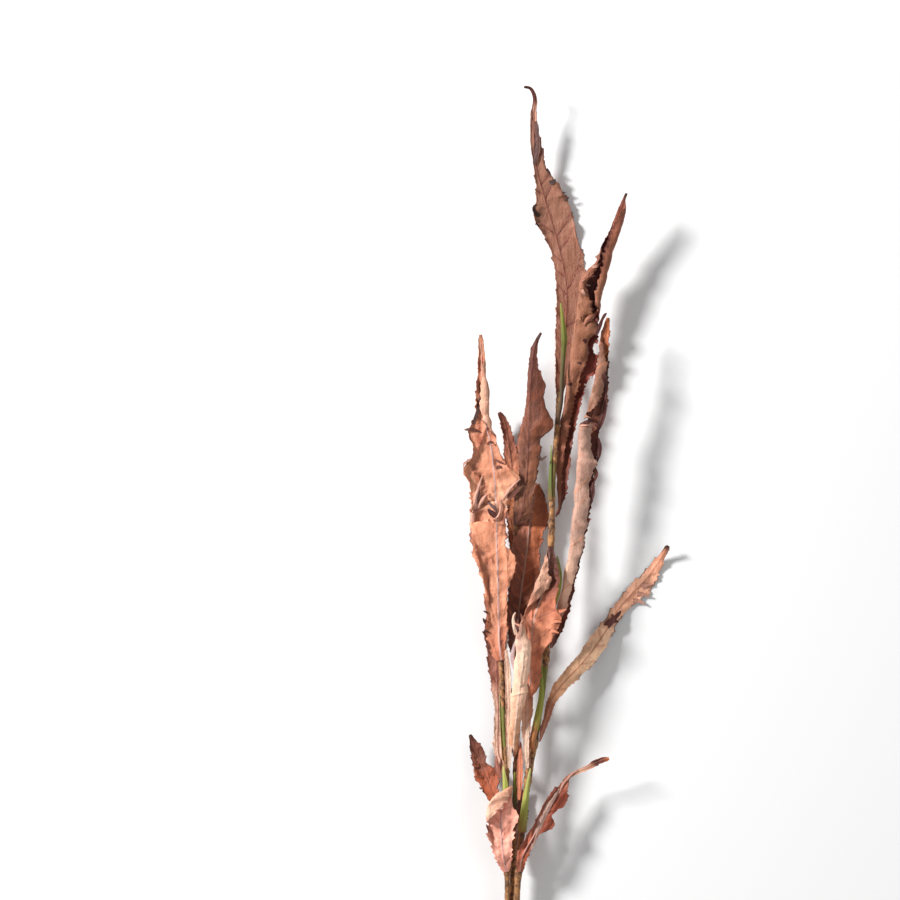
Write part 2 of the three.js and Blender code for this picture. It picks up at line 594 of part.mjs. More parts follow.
    stations: [
      seat("middle", 34, 180, 3, 3, 36),
      at(4, 54, 9, 6, 6, 20, 20),
      at(7, 74, 6, 7, 7, 14, 14),
      at(11, 94, 5, 5, 5, 20, 20),
      at(14, 110, 7, 1.4, 1.4),
    ],
  },
];

// Slender sheaths that leave their stem as narrow, pointed blades
const SLENDER_SHEATHS = [
  {
    name: "sheath_tall", colour: 0x7d8a2e, seed: 3,
    stations: [
      seat("right", 476, -12, 2.2, 2.2, -40),
      at(49, 498, 33.5, 1.8, 1.8, -40, -40),
      at(50, 522, 33, 1.8, 1.8, -40, -40),
      at(51.3, 544, 30.5, 2.2, 2.2, -36, -36),
      at(52.2, 562, 27, 3, 3, -36, -36),
      at(50.8, 580, 22.5, 1.7, 1.7, -30, -30),
      at(49, 597, 18, 0.7, 0.7),
    ],
  },
  {
    name: "sheath_mid_right", colour: 0xa8a040, seed: 5,
    stations: [
      seat("right", 284, 35, 2.4, 2.4, -40),
      at(43.3, 300, 38.8, 2.4, 2.4, -30, -30),
      at(46.5, 314, 40.2, 2.6, 2.6, -30, -30),
      at(47, 328, 40.5, 2.3, 2.3, -30, -30),
      at(45, 344, 40.5, 0.7, 0.7),
    ],
  },
  {
    name: "sheath_right", colour: 0xa8a040, seed: 7,
    stations: [
      seat("right", 150, -20, 2.8, 2.8, -50),
      at(20, 158, 34.8, 2.9, 2.9, -50, -50),
      at(23.5, 174, 34.8, 3.1, 3.1, -46, -46),
      at(27, 189, 34.8, 3.2, 3.2, -40, -40),
      at(29.3, 203, 34.6, 2.6, 2.6, -36, -36),
      at(29.6, 218, 34.1, 1.8, 1.8, -30, -30),
      at(29.3, 236, 34.2, 1.2, 1.2),
      at(29, 252, 34.4, 0.6, 0.6),
    ],
  },
];

const PLAIN_SHEATH = { thickness: SHEATH_THICKNESS, power: 1, rib: 0, rowsEach: 2, cells: [2, 2] };

// A sheath: a narrow green blade whose foot wraps a stem, and whose point leaves it
function sheath({ name, stem: stemName, from, to, around = 0, wrap = 120, lean = 2, colour }) {
  const stem = STEMS[stemName];
  const stemTop = stem.path[stem.path.length - 1][1];
  const behind = Math.abs(around) > 90;
  const stations = [];
  for (let k = 0; k <= SHEATH_STATIONS; k++) {
    const share = k / SHEATH_STATIONS;
    const up = THREE.MathUtils.lerp(from, to, share);
    const centre = stemPlace(stem, Math.min(up, stemTop));
    const reach = stemRadius(stem, up) + SHEATH_GAP + SHEATH_THICKNESS / 2;
    const away = reach + lean * share ** 3;
    const open = wrap * Math.pow(1 - share, SHEATH_OPENING);
    const least = THREE.MathUtils.lerp(SHEATH_HALF_AT_FOOT, SHEATH_HALF_AT_TIP, share);
    const width = Math.max(reach * Math.sin(radians(Math.min(open, 90))), least);
    const curl = behind ? open : -open;
    const x = centre.x + Math.sin(radians(around)) * away;
    const z = centre.z + Math.cos(radians(around)) * away;
    stations.push(at(x, up, z, width, width, curl, curl, turnAgainst(around)));
  }
  return { name, colour, stations };
}

const SHEATHS = [
  { name: "sheath_upper", stem: "right", from: 400, to: 455, around: -55, wrap: 42, lean: 1, colour: 0x74802c },
  { name: "sheath_left", stem: "left", from: 140, to: 238, around: 172, wrap: 138, colour: 0x8f8a40 },
  { name: "sheath_base_left", stem: "left", from: 94, to: 134, around: -25, wrap: 88, colour: 0xa8a040 },
  { name: "sheath_base_middle", stem: "middle", from: 74, to: 128, around: -10, wrap: 60, colour: 0x7d8a2e },
  { name: "sheath_base_right", stem: "right", from: 68, to: 132, around: 5, wrap: 72, colour: 0xa8a040 },
];

// Cuts away what lies below the surface, which leaves a small flat spot to rest on
function restOnSurface(geometry) {
  const reach = 2000;
  const below = new THREE.BoxGeometry(reach, reach, reach).translate(0, 0, -reach / 2);
  const solid = (shape) => {
    const plain = shape.clone();
    plain.deleteAttribute("normal");
    plain.deleteAttribute("uv");
    const merged = mergeVertices(plain, 1e-4);
    const triVerts = new Uint32Array(merged.index.array);
    return new wasm.Manifold(
      new wasm.Mesh({ numProp: 3, vertProperties: merged.attributes.position.array, triVerts }),
    );
  };
  const cut = solid(geometry).subtract(solid(below)).getMesh();
  const made = new THREE.BufferGeometry();
  made.setAttribute("position", new THREE.BufferAttribute(cut.vertProperties, 3));
  made.setIndex(new THREE.BufferAttribute(cut.triVerts, 1));
  return made;
}

function finish(colour, roughness) {
  return new THREE.MeshStandardMaterial({ color: colour, roughness, metalness: 0 });
}

const spray = new THREE.Group();
spray.position.set(-MIDDLE_ACROSS, -MIDDLE_UP, 0);

function add(name, geometry, colour, roughness) {
  geometry.computeBoundingBox();
  const made = geometry.boundingBox.min.z < 0 ? restOnSurface(geometry) : geometry;
  const mesh = new THREE.Mesh(made, finish(colour, roughness));
  mesh.name = name;
  spray.add(mesh);
}

// The bound main stem: from its cut end, lying on the surface, up to where the branches leave it
function mainStem() {
  const path = [[0, CUT_UP, MAIN_RADIUS_AT_CUT - REST_CUT], [0, -120, 7.5], [0, -60, 15], [0, -34, 19.6],
    [0, JOIN_UP - JOIN_GAP, 20]];
  const radiusAt = (up) => {
    const share = THREE.MathUtils.smoothstep(up, WIDENS_FROM_UP, JOIN_UP);
    return THREE.MathUtils.lerp(MAIN_RADIUS_AT_CUT, MAIN_RADIUS_AT_JOIN, share);
  };
  return taperedTube(path, radiusAt, MAIN_STEM_ROWS, MAIN_STEM_SIDES);
}

add("main_stem", mainStem(), TAPE, 0.9);
for (const [name, stem] of Object.entries(STEMS)) {
  const rows = (stem.path.length - 1) * STEM_ROWS;
  add(`branch_${name}`, taperedTube(stem.path, (up) => stemRadius(stem, up), rows, STEM_SIDES), TAPE, 0.9);
}
for (const leaf of LEAVES) {
  add(leaf.name, blade(leaf), leaf.colour, 0.75);
}
for (const plan of [...SLENDER_SHEATHS, ...SHEATHS.map(sheath)]) {
  add(plan.name, blade({ ...plan, ...PLAIN_SHEATH }), plan.colour, 0.6);
}

export default spray;
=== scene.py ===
"""A dried, fern-like spray: finely toothed and curled leaves, green sheaths and taped stems"""

import math
from functools import partial

import bpy
import numpy as np
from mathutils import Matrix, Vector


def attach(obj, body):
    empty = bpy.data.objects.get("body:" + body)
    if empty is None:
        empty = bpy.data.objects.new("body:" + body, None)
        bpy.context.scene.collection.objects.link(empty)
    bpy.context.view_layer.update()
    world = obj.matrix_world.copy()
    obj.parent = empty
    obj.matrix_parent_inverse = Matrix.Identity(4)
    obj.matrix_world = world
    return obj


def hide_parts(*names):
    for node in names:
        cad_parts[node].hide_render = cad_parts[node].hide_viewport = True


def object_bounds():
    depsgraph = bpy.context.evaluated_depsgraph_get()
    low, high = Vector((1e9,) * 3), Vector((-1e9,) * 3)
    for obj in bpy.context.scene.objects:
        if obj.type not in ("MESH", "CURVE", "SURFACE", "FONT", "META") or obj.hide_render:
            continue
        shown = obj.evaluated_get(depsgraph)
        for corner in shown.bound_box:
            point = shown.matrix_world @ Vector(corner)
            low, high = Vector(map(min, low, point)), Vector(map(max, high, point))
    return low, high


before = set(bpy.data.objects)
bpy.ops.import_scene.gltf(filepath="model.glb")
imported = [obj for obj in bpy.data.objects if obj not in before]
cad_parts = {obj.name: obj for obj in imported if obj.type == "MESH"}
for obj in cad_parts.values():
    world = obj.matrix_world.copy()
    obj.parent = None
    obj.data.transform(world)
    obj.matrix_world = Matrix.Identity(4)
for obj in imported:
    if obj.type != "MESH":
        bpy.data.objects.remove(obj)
SOLIDS_BOX = [np.array(corner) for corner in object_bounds()]

bl_info = {
    "name": "Dried Fern Spray",
    "version": (1, 0, 0),
    "blender": (4, 5, 0),
    "location": "View3D > Sidebar > Dried Fern",
    "description": "Builds a dried spray of long saw-toothed leaves on taped stems",
    "category": "Object",
}

MM = 0.001
TAU = math.pi * 2

# The spray is measured in millimetres from the foot of its lowest leaf; the part's origin lies here
MIDDLE_ACROSS = 54.7
MIDDLE_UP = 317.1

# The solids' own sizes, by which the visible pieces stand where they do
LEAF_THICKNESS = 0.9
SHEATH_THICKNESS = 0.8
SEAT_GAP = 0.4
SHEATH_GAP = 0.9
SHEATH_HALF_AT_FOOT = 3.2
SHEATH_HALF_AT_TIP = 0.6
SHEATH_OPENING = 0.8
SHEATH_STATIONS = 6
MAIN_RADIUS_AT_CUT = 4.6
MAIN_RADIUS_AT_JOIN = 7
REST_CUT = 0.3
CUT_UP = -180
JOIN_UP = -16
JOIN_GAP = 0.6
WIDENS_FROM_UP = -110
STEM_TIP_SHARE = 0.82
KNOT_RISE = 0.8
TOOTH_LEAN = 1.6
TOOTH_LEAST = 0.35
TOOTH_MOST = 1.25
TOOTH_SHARE_OF_HALF = 0.3
TOOTH_OUTLINE = ((-0.95, 0), (-0.3, 0.4), (0.38, 1), (0.6, 0.15), (1, 0))
HALF_LEAST = 0.5
FULL_RUFFLE_HALF = 10
CURL_MARGIN = 0.3
FOLD_RADIUS = 2.6
FOLD_SHARE_OF_HALF = 0.4
SLANT_STATIONS = 1.2
CALM_STEP = 3
FULL_STEP = 7
PATH_STEPS = 400
ROW_STEPS = 40
TANGENT_REACH = 0.05

# The columns of a station, and how many there are
REACH = 3
CURL = 5
TURN = 7
OVER = 8
STATION_NUMBERS = 10

# The repeatable random numbers of the solids, and the seeds of the scene's own
DRAW_FACTOR = 1664525
DRAW_STEP = 1013904223
DRAW_RANGE = 4294967296
SCRAP_SEED = 200
STEM_SEED = 20
MAIN_STEM_SEED = 5

# How finely the visible pieces are made
HALF_COLUMNS = 15
ROW_PITCH = 1.1
EDGE_CROWDING = 0.55
SECTION_STEPS = 48
FAR_FROM_VEIN = 8.0
TUBE_SIDES = 28
FINE_TOOTH_LEAST_GAP = 3.0
FINE_TOOTH_MOST_GAP = 8.0
FINE_TOOTH_SHARES = (0.1, 1.1)
FINE_TOOTH_OUTLINE = ((0, 0), (0.35, 0.3), (0.7, 1), (0.85, 0.1))
SMOOTH_ANGLE = math.radians(50)
KEPT_INSIDE = 0.6

# Halves narrower than these flutter, burn and crumple less; so does the foot, and veins end short of the edge
SLIM_HALF = 6
BURN_HALF = 5
CRUMPLE_HALF = 7
CALM_FOOT = 12
CALM_EDGE = 3

# Where side veins start, and how they lean, bow, reach, wander and follow each other, between least and most
VEIN_STARTS = (0.2, 0.9)
VEIN_LEANS = (0.45, 1.25)
VEIN_BOWS = (0.0, 0.5)
VEIN_REACHES = (0.45, 1.05)
VEIN_WANDERS = (1.6, 3.5)
VEIN_GAPS = (0.45, 1.5)

# A crumpled blade's noises: how large their grain is across and along, and how deep they are
CREASE_GRAIN = (9, 24)
SLANT_GRAIN = (9, 14)
DENT_GRAIN = (8, 12)
PUCKER_GRAIN = (2.4, 3.6)
CREASE_DEPTH = 0.7
DENT_DEPTH = 0.8
PUCKER_DEPTH = 0.22

# The midrib, the dip along a vein, and the ragged outline of stains with their painted shade, of the painted
# shadows in holes, and of cuts
RIB_HEIGHT = 0.4
RIB_HALF = 0.9
VEIN_FAR = 1.6
VEIN_NEAR = 0.2
MARK_GRAIN = 2.6
MARK_ROUGHNESS = 0.3
MARK_FADE = (1.25, 0.65)
CUT_GRAIN = 1.6
CUT_ROUGHNESS = 0.35

# Where across a half, as a share of it, the flutter and the curled lip begin and are full
FLUTTER_SHARES = (0.35, 1.0)
LIP_SHARES = (0.8, 1.05)

# Noises along a margin: the length of a wave and, but for the flutter, its strength
FLUTTER_WAVE = 7
BURN_WAVES = ((9, 1.8), (47, 1.5))
BURN_LESS = 0.7
LIP_WAVES = ((9, 0.8), (41, 0.9))

# The tape's pitch along a stem, and how far its upper lap and its lower one lie from the solids' skin
TAPE_PITCH = 9.0
TAPE_LAP = 0.16
TAPE_BELOW = 0.1

# How many creases of tape there are round a stem, their grain, and from where they turn into the first
TAPE_CREASES_ROUND = 12
TAPE_GRAIN = (2, 3)
SEAM_FROM = 0.85

# The stage, in metres unless a name says otherwise
FLOOR_SIZE = 14
KEY_PLACE = (-2.4, 1.3, 1.65)
KEY_SIZE = 0.65
FILL_PLACE = (2.0, -0.8, 2.6)
FILL_SIZE = 2.4
FILL_SHARE = 0.12
CAMERA_DISTANCE = 5.5
MIDDLE_LIFT = 0.03
SENSOR_MM = 36
VIEW_SIZE = 0.9

# The photo's middle, and where the lowest leaf's foot stands across it, in millimetres
VIEW_MIDDLE = 450
FOOT_ACROSS = 512


def seeded(seed):
    """The solids' own repeatable random numbers, so that the large teeth stand where theirs do"""
    state = seed

    def draw():
        nonlocal state
        state = (state * DRAW_FACTOR + DRAW_STEP) % DRAW_RANGE
        return state / DRAW_RANGE

    return draw


# A station is (across, up, lift, left, right, curl left, curl right, turn, over left, over right): a place on
# a midrib, the reach and curl of both halves, the blade's turn, and how much of each margin is folded over
def full(stations):
    """A leaf's stations with a 0 for each number that they leave out"""
    return [station + (0,) * (STATION_NUMBERS - len(station)) for station in stations]


def even(across, up, lift, left, curl=0, right=None):
    """A station whose halves curl alike, and reach as far unless the right half's reach is given"""
    return (across, up, lift, left, left if right is None else right, curl, curl, 0, 0, 0)


def smooth(stations, column, u):
    """The smooth value of a column of the stations at u stations from the foot; u may be an array"""
    values = np.array([station[column] for station in stations], float)
    last = len(values) - 1
    u = np.asarray(u, float)
    i = np.minimum(np.floor(u).astype(int), last - 1)
    f = u - i
    a, b, c, d = (values[np.clip(i + k, 0, last)] for k in (-1, 0, 1, 2))
    rise, fall = (c - a) / 2, (d - b) / 2
    return (((2 * b - 2 * c + rise + fall) * f + (3 * c - 3 * b - 2 * rise - fall)) * f + rise) * f + b


def places(stations, u):
    return np.stack([smooth(stations, column, u) for column in (0, 1, 2)], axis=-1)


def unit(vectors):
    return vectors / np.linalg.norm(vectors, axis=-1, keepdims=True)


def frames_along(stations, u):
    """Points of a path with their forward, side and face directions, untwisted from the foot up"""
    last = len(stations) - 1
    ahead = places(stations, np.minimum(u + TANGENT_REACH, last))
    behind = places(stations, np.maximum(u - TANGENT_REACH, 0))
    tangents = unit(ahead - behind)
    sides = np.empty_like(tangents)
    side = np.cross(tangents[0], (0, 0, 1))
    for row, tangent in enumerate(tangents):
        side = side - side.dot(tangent) * tangent
        side = side / np.linalg.norm(side)
        sides[row] = side
    return places(stations, u), tangents, sides, np.cross(sides, tangents)


def even_rows(stations, pitch):
    """Values of u that lie evenly along the path, pitch millimetres apart, and their distances"""
    last = len(stations) - 1
    tried = np.linspace(0, last, last * ROW_STEPS + 1)
    spot = places(stations, tried)
    gone = np.concatenate([[0], np.cumsum(np.linalg.norm(np.diff(spot, axis=0), axis=1))])
    rows = max(int(round(gone[-1] / pitch)), 8)
    along = np.linspace(0, gone[-1], rows + 1)
    return np.interp(along, gone, tried), along


def noise_line(x, step, rng):
    """Smooth random values from -1 to 1 along x, with a new value every step"""
    cells = int(np.max(x) / step) + 3
    knots = rng.uniform(-1, 1, cells)
    i = np.clip(np.floor(x / step).astype(int), 0, cells - 2)
    f = x / step - i
    f = f * f * (3 - 2 * f)
    return knots[i] * (1 - f) + knots[i + 1] * f


def noise_sheet(x, y, step_x, step_y, rng):
    """Smooth random values from -1 to 1 over a sheet"""
    x = (x - x.min()) / step_x
    y = (y - y.min()) / step_y
    knots = rng.uniform(-1, 1, (int(x.max()) + 3, int(y.max()) + 3))
    i, j = np.floor(x).astype(int), np.floor(y).astype(int)
    f, g = x - i, y - j
    f, g = f * f * (3 - 2 * f), g * g * (3 - 2 * g)
    low = knots[i, j] * (1 - f) + knots[i + 1, j] * f
    high = knots[i, j + 1] * (1 - f) + knots[i + 1, j + 1] * f
    return low * (1 - g) + high * g


def ramp(x, low, high):
    t = np.clip((x - low) / (high - low), 0, 1)
    return t * t * (3 - 2 * t)


# Each branch's radius and path, the middles and lengths of its knots, and where its stalk shows bare of tape
STEMS = {
    "left": {
        "radius": 2.6,
        "path": [(-4.5, JOIN_UP, 22), (-4.9, 28, 23.8), (-5, 86, 26), (-5.7, 128, 27.8), (-8, 172, 29.3),
                 (-10, 222, 30), (-11, 243, 30)],
        "knots": [(28, 14), (86, 16), (128, 14), (222, 40)],
        "bare": [(150, 196)],
    },
    "middle": {
        "radius": 2.7,
        "path": [(-1, JOIN_UP, 16.5), (2, 60, 18), (4, 130, 22), (6, 195, 23), (4, 290, 14), (3, 340, 13),
                 (4, 374, 14.5)],
        "knots": [(130, 16), (195, 14), (340, 14)],
        "bare": [(230, 330)],
    },
    "right": {
        "radius": 3.3,
        "path": [(3.5, JOIN_UP, 22), (6.6, 28, 23.6), (10, 70, 25), (16.4, 124, 27.2), (22.6, 157, 28.5),
                 (29, 200, 29.6), (34, 245, 30), (36, 300, 30), (39.3, 364, 29), (41, 420, 28), (45, 470, 26),
                 (48, 508, 23)],
        "knots": [(28, 14), (124, 20), (157, 12), (245, 16), (364, 34), (500, 16)],
        "bare": [(166, 236), (400, 440)],
    },
}
MAIN_STEM_PATH = [(0, CUT_UP, MAIN_RADIUS_AT_CUT - REST_CUT), (0, -120, 7.5), (0, -60, 15), (0, -34, 19.6),
                  (0, JOIN_UP - JOIN_GAP, 20)]


def stem_radius(stem, up):
    share = np.clip((up - JOIN_UP) / (stem["path"][-1][1] - JOIN_UP), 0, 1)
    swell = 0
    for middle, length in stem["knots"]:
        swell = np.maximum(swell, np.exp(-(((up - middle) / (length * 0.5)) ** 4)))
    return stem["radius"] * (1 + (STEM_TIP_SHARE - 1) * share) + KNOT_RISE * swell


def main_radius(up):
    share = ramp(up, WIDENS_FROM_UP, JOIN_UP)
    return MAIN_RADIUS_AT_CUT + (MAIN_RADIUS_AT_JOIN - MAIN_RADIUS_AT_CUT) * share


def stem_place(stem, up):
    last = len(stem["path"]) - 1
    tried = np.linspace(0, last, last * PATH_STEPS + 1)
    u = np.interp(up, smooth(stem["path"], 1, tried), tried)
    return places(stem["path"], u)


def turn_against(around):
    return around - math.copysign(180, around) if abs(around) > 90 else around


def seat(name, up, around, left, right, curl):
    """A station on the skin of a stem; around turns from the front of the stem to its right"""
    stem = STEMS[name]
    x, _, z = stem_place(stem, up)
    reach = float(stem_radius(stem, up)) + SEAT_GAP + LEAF_THICKNESS / 2
    angle = math.radians(around)
    return (x + math.sin(angle) * reach, up, z + math.cos(angle) * reach, left, right, curl, curl,
            turn_against(around), 0, 0)


# Colours as they look, 0 to 255
ROSE_BROWN = (178, 127, 108)
VEIN_BROWN = (146, 86, 72)
TIP_DARK = (62, 28, 20)
EDGE_DARK = (84, 40, 28)
RED_BROWN = (160, 96, 80)
MAROON = (92, 30, 26)
SALMON = (240, 178, 146)
SALMON_DEEP = (205, 124, 92)
UMBER = (104, 60, 46)
UMBER_DARK = (64, 34, 26)
LILAC = (188, 158, 156)
LILAC_GREY = (176, 138, 124)
TORN_PINK = (204, 150, 130)
LIP_BROWN = (158, 98, 74)
RUST_DEEP = (132, 68, 42)
TORN_PALE = (222, 186, 162)
GREY_PURPLE = (100, 72, 68)
# HOLLOW_BROWN and MAROON_DARK, like UMBER_DARK, also stand for painted shade in holes, openings, curls and
# the insides of rolls
HOLLOW_BROWN = (104, 56, 42)
MAROON_DARK = (72, 26, 22)
SCORCHED = (50, 26, 20)
RUST = (176, 96, 56)

# What the plan of a leaf, a sheath or a scrap holds unless it says otherwise
PLAIN_LEAF = {
    "power": 1.3, "rows_each": 2, "teeth": 0, "ruffle": 0, "waves": 3, "fine_teeth": 1.4, "lip": 55,
    "slant": 0, "roll": FOLD_RADIUS, "round": 0, "creases": (), "stains": (), "holes": (), "cuts": (),
    "stain_colour": (112, 60, 44), "flutter": 26, "wrinkle": 1.0, "relief": 0.4, "thickness": 0.6,
    "vein_gap": 14, "columns": HALF_COLUMNS, "burn": 1.0, "blotch": 0.4, "blotch_colour": (120, 66, 48),
    "vein": VEIN_BROWN, "rib_width": 0.9, "margin_strength": 0.8,
}
PLAIN_SHEATH = {
    **PLAIN_LEAF, "power": 1, "lip": 0, "flutter": 0, "fine_teeth": 0, "wrinkle": 0.06, "relief": 0,
    "burn": 0,
}
PLAIN_SCRAP = {
    **PLAIN_LEAF, "rows_each": 3, "lip": 20, "flutter": 34, "wrinkle": 0.6, "relief": 0, "burn": 0.6,
    "columns": 8, "vein_strength": 0.2, "tip_from": 1.2, "margin_strength": 0.7,
}


def leaf(name, slot, seed, stations, **looks):
    """Plans a leaf; its colours run from foot to tip, a mark starts with its place, a crease with its ends"""
    name, slot = "leaf_" + name, "leaf_" + slot
    LEAVES.append({"name": name, "slot": slot, "seed": seed, "stations": full(stations), **looks})


def scraps(leaf_name, word, upper, lower, teeth, *paths):
    """Plans a scrap on a leaf for each path; where there are several, letters tell them apart"""
    node = "leaf_" + leaf_name
    for letter, path in zip("abcde", paths):
        name = f"{node}_{word}_{letter}" if len(paths) > 1 else f"{node}_{word}"
        SCRAPS.append({
            **PLAIN_SCRAP, "node": node, "name": name, "seed": SCRAP_SEED + len(SCRAPS), "teeth": teeth,
            "stations": [even(*station) for station in path], "upper": [(0, upper), (1, upper)],
            "lower": [(0, lower), (1, lower)], "rib": upper,
        })


LEAVES = []
leaf("tall_flat", "rosy_brown", 11, [
    seat("right", 504, 180, 3, 3, 40), (51, 540, 10, 7, 9, 12, 16), (54.5, 575, 4, 9.5, 17, 8, 10),
    (55.5, 608, 0.6, 10, 18.5, 5, 5), (52.5, 632, 0.3, 8.5, 20, 4, 4), (46, 660, 0.6, 9, 20, 6, 6),
    (38, 687, 4, 15.5, 21, 20, 12), (31, 710, 8.5, 6, 16.8, 20, 14), (25.5, 730, 13, 3, 9, 30, 16),
    (23, 748, 17, 3, 8, 30, 20), (22, 766, 20, 3.5, 5, 30, 60), (22, 786, 24, 3, 2.4, 40, 60),
    (23, 801, 28, 2, 2, 20, 20), (19, 811, 30, 1.6, 1.6, 10, 10), (12, 813, 31, 1.2, 1.2)],
    teeth=2.2, ruffle=6, waves=5, vein_gap=30, vein_strength=1, vein=(112, 52, 42), rib=(118, 60, 48),
    tip_from=1.2, wrinkle=0.5, rows_each=3,
    upper=[(0, (128, 74, 55)), (0.3, (142, 92, 71)), (0.6, (152, 102, 80)), (0.78, (154, 104, 82)),
        (0.86, (186, 134, 112)), (0.91, (184, 132, 112)), (0.935, (92, 36, 24)), (1, (50, 14, 8))],
    lower=[(0, RED_BROWN), (0.7, RED_BROWN), (0.85, (92, 62, 60)), (1, MAROON)],
    holes=[(69, 635, 1.4, 1, 0, 1, 1)])
leaf("tall_rolled", "red_brown", 23, [
    seat("right", 384, 80, 2.4, 3, 20), (47, 397, 23.6, 2.6, 4, 0, 40, 50, 2),
    (49, 420, 20.4, 5, 6.5, 10, 60, 0, 5), (52.5, 450, 19.4, 7, 6.5, 10, 60, 0, 6.5),
    (57, 480, 18.4, 8.2, 8, 8, 60, 0, 8), (61, 504, 18.4, 8, 9, 6, 50, 0, 9.5),
    (64.5, 522, 19.6, 10, 14, 14, 30, 0, 11.5), (68, 540, 20, 11, 17, 24, 20, 0, 15),
    (71.5, 557, 20.5, 11.5, 14.5, 24, 20, 0, 13.5), (75, 576, 21, 12.5, 10.5, 24, 30, 0, 20),
    (77.5, 589, 22, 13, 10, 20, 30, 0, 15, 2), (79, 602, 23, 12, 10, 16, 30, 0, 8.5, 4),
    (81.5, 614, 24, 15, 10, 14, 30, 0, 6, 5), (85.5, 625, 25, 12.5, 9.5, 14, 30, 0, 6.5, 5.5),
    (89.5, 637, 26.5, 6.5, 8.8, 14, 30, 0, 2.6, 6), (93.5, 651, 28.5, 5, 8.4, 14, 26, 0, 1, 6),
    (98.5, 665, 31.5, 2.5, 8.2, 20, 24, 0, 0, 6.2), (105, 683, 36, 2, 7, 20, 24, 0, 0, 5),
    (109.5, 694, 40, 2, 4.4, 20, 30, 0, 0, 1.4), (111.5, 700, 43, 1.4, 1.6), (114, 706, 47, 1.2, 1.2)],
    teeth=2, ruffle=4, waves=5, roll=3.4, round=1, vein_gap=26, vein_strength=0.6, rib=(110, 54, 44),
    tip_from=0.975, wrinkle=0.8, lip=40, fine_teeth=2.4,
    # The upper face's dark maroon is partly the leaf's red-brown and partly painted shade inside the roll
    upper=[(0, (91, 42, 32)), (0.3, (119, 43, 30)), (0.45, (131, 51, 37)), (0.55, (104, 30, 22)),
        (0.62, (74, 13, 10)), (0.84, (87, 22, 19)), (0.9, (172, 105, 81)), (1, (86, 34, 24))],
    lower=[(0, (129, 72, 50)), (0.3, (131, 77, 52)), (0.45, (146, 91, 64)), (0.64, (149, 95, 68)),
        (0.75, (138, 81, 55)), (0.9, (151, 86, 63)), (1, (83, 35, 22))],
    cuts=[(84.5, 551.5, 2.8, 4.8, 1, 0, 1), (82, 508, 9, 14.5, 1, 0.2, 1)],
    holes=[(67.5, 537, 2, 2.2, 0, 1, -1), (58.5, 515.5, 3, 1.7, -20, 1, -1), (73, 559, 2, 3, 0, 1, -1)],
    stains=[(60, 470, 3, 50, 4, 0.5, 1), (54, 440, 3, 60, 4, 0.4, 1)],
    creases=[(62, 520, 44, 400, 1.6, -1.2, 1), (84, 600, 72, 575, 2.4, 0.9, -1),
        (68, 575, 78, 583, 2, 0.9, -1)])
leaf("right_rolled", "pale", 37, [
    seat("right", 252, 75, 3, 3, 30), (41, 262, 33, 4, 4.5, 20, 30, 20, 2),
    (46.5, 282, 34, 4.5, 7.5, 20, 30, 0, 6), (52, 300, 35, 5, 6.5, 20, 30, 0, 8),
    (56, 319, 36, 5.5, 6, 24, 30, 0, 8.5), (61.5, 341, 37, 6.5, 6.8, 24, 24, 0, 10.5),
    (65.5, 364, 38, 7, 7, 24, 24, 0, 12), (68.5, 387, 38.5, 8, 7.8, 24, 24, 0, 13.5),
    (70.5, 408, 39, 8, 9.5, 24, 20, 0, 12.5), (72.5, 426, 39.5, 8.8, 8.5, 24, 20, 0, 14),
    (74, 444, 40, 9.8, 10, 24, 20, 0, 16), (75.5, 459, 40, 9.8, 10.5, 24, 16, 0, 10.5),
    (77.5, 473, 40.5, 10.5, 7, 24, 16, 0, 10.5), (80.5, 484, 41, 7, 10, 16, 14, 0, 2),
    (83.5, 494, 41.5, 7.5, 10.5, 16, 14, 0, 6), (86, 506, 42, 7.5, 8.5, 20, 12, 0, 9.5),
    (88.5, 523, 43, 6.8, 6.2, 20, 12, 0, 9.5), (90.5, 543, 44, 4.5, 4.5, 20, 20, 0, 5),
    (92, 560, 45, 4, 4.2, 20, 20, 0, 1), (94, 572, 46, 3, 3, 20, 20), (95.5, 582, 48, 1.4, 1.4)],
    teeth=2.2, ruffle=4, waves=6, roll=4.2, round=5, vein_gap=40, vein_strength=0.75, vein=(206, 126, 86),
    rib=VEIN_BROWN, tip_from=1.2, wrinkle=0.8, lip=30, fine_teeth=2.2,
    # The upper face's dark maroon is partly the leaf's own colour and partly painted shade inside the roll
    upper=[(0, (84, 38, 27)), (0.15, (110, 48, 32)), (0.3, (96, 28, 13)), (0.66, (84, 27, 11)),
        (0.72, (104, 50, 28)), (0.85, (94, 46, 28)), (1, (196, 106, 56))],
    lower=[(0, (142, 79, 60)), (0.1, (168, 103, 79)), (0.17, (231, 181, 153)), (0.3, (187, 147, 128)),
        (0.66, (180, 139, 121)), (0.72, (163, 116, 92)), (0.86, (130, 87, 67)), (0.93, (100, 50, 26)),
        (0.97, (62, 24, 11)), (1, (130, 68, 30))], cuts=[(70, 479.5, 13, 2.2, -1, 0.2, 1)],
    holes=[(72, 475.5, 2.6, 1.2, -20, 1, -1)],
    stains=[(78, 492, 5, 16, -24, 0.4, -1), (94, 560, 4, 16, 0, 0.5, -1)],
    creases=[(66, 442, 80, 462, 2.2, 1, -1), (64, 396, 72, 420, 2.2, 0.9, -1),
        (62, 340, 69, 372, 2, 0.8, -1)])
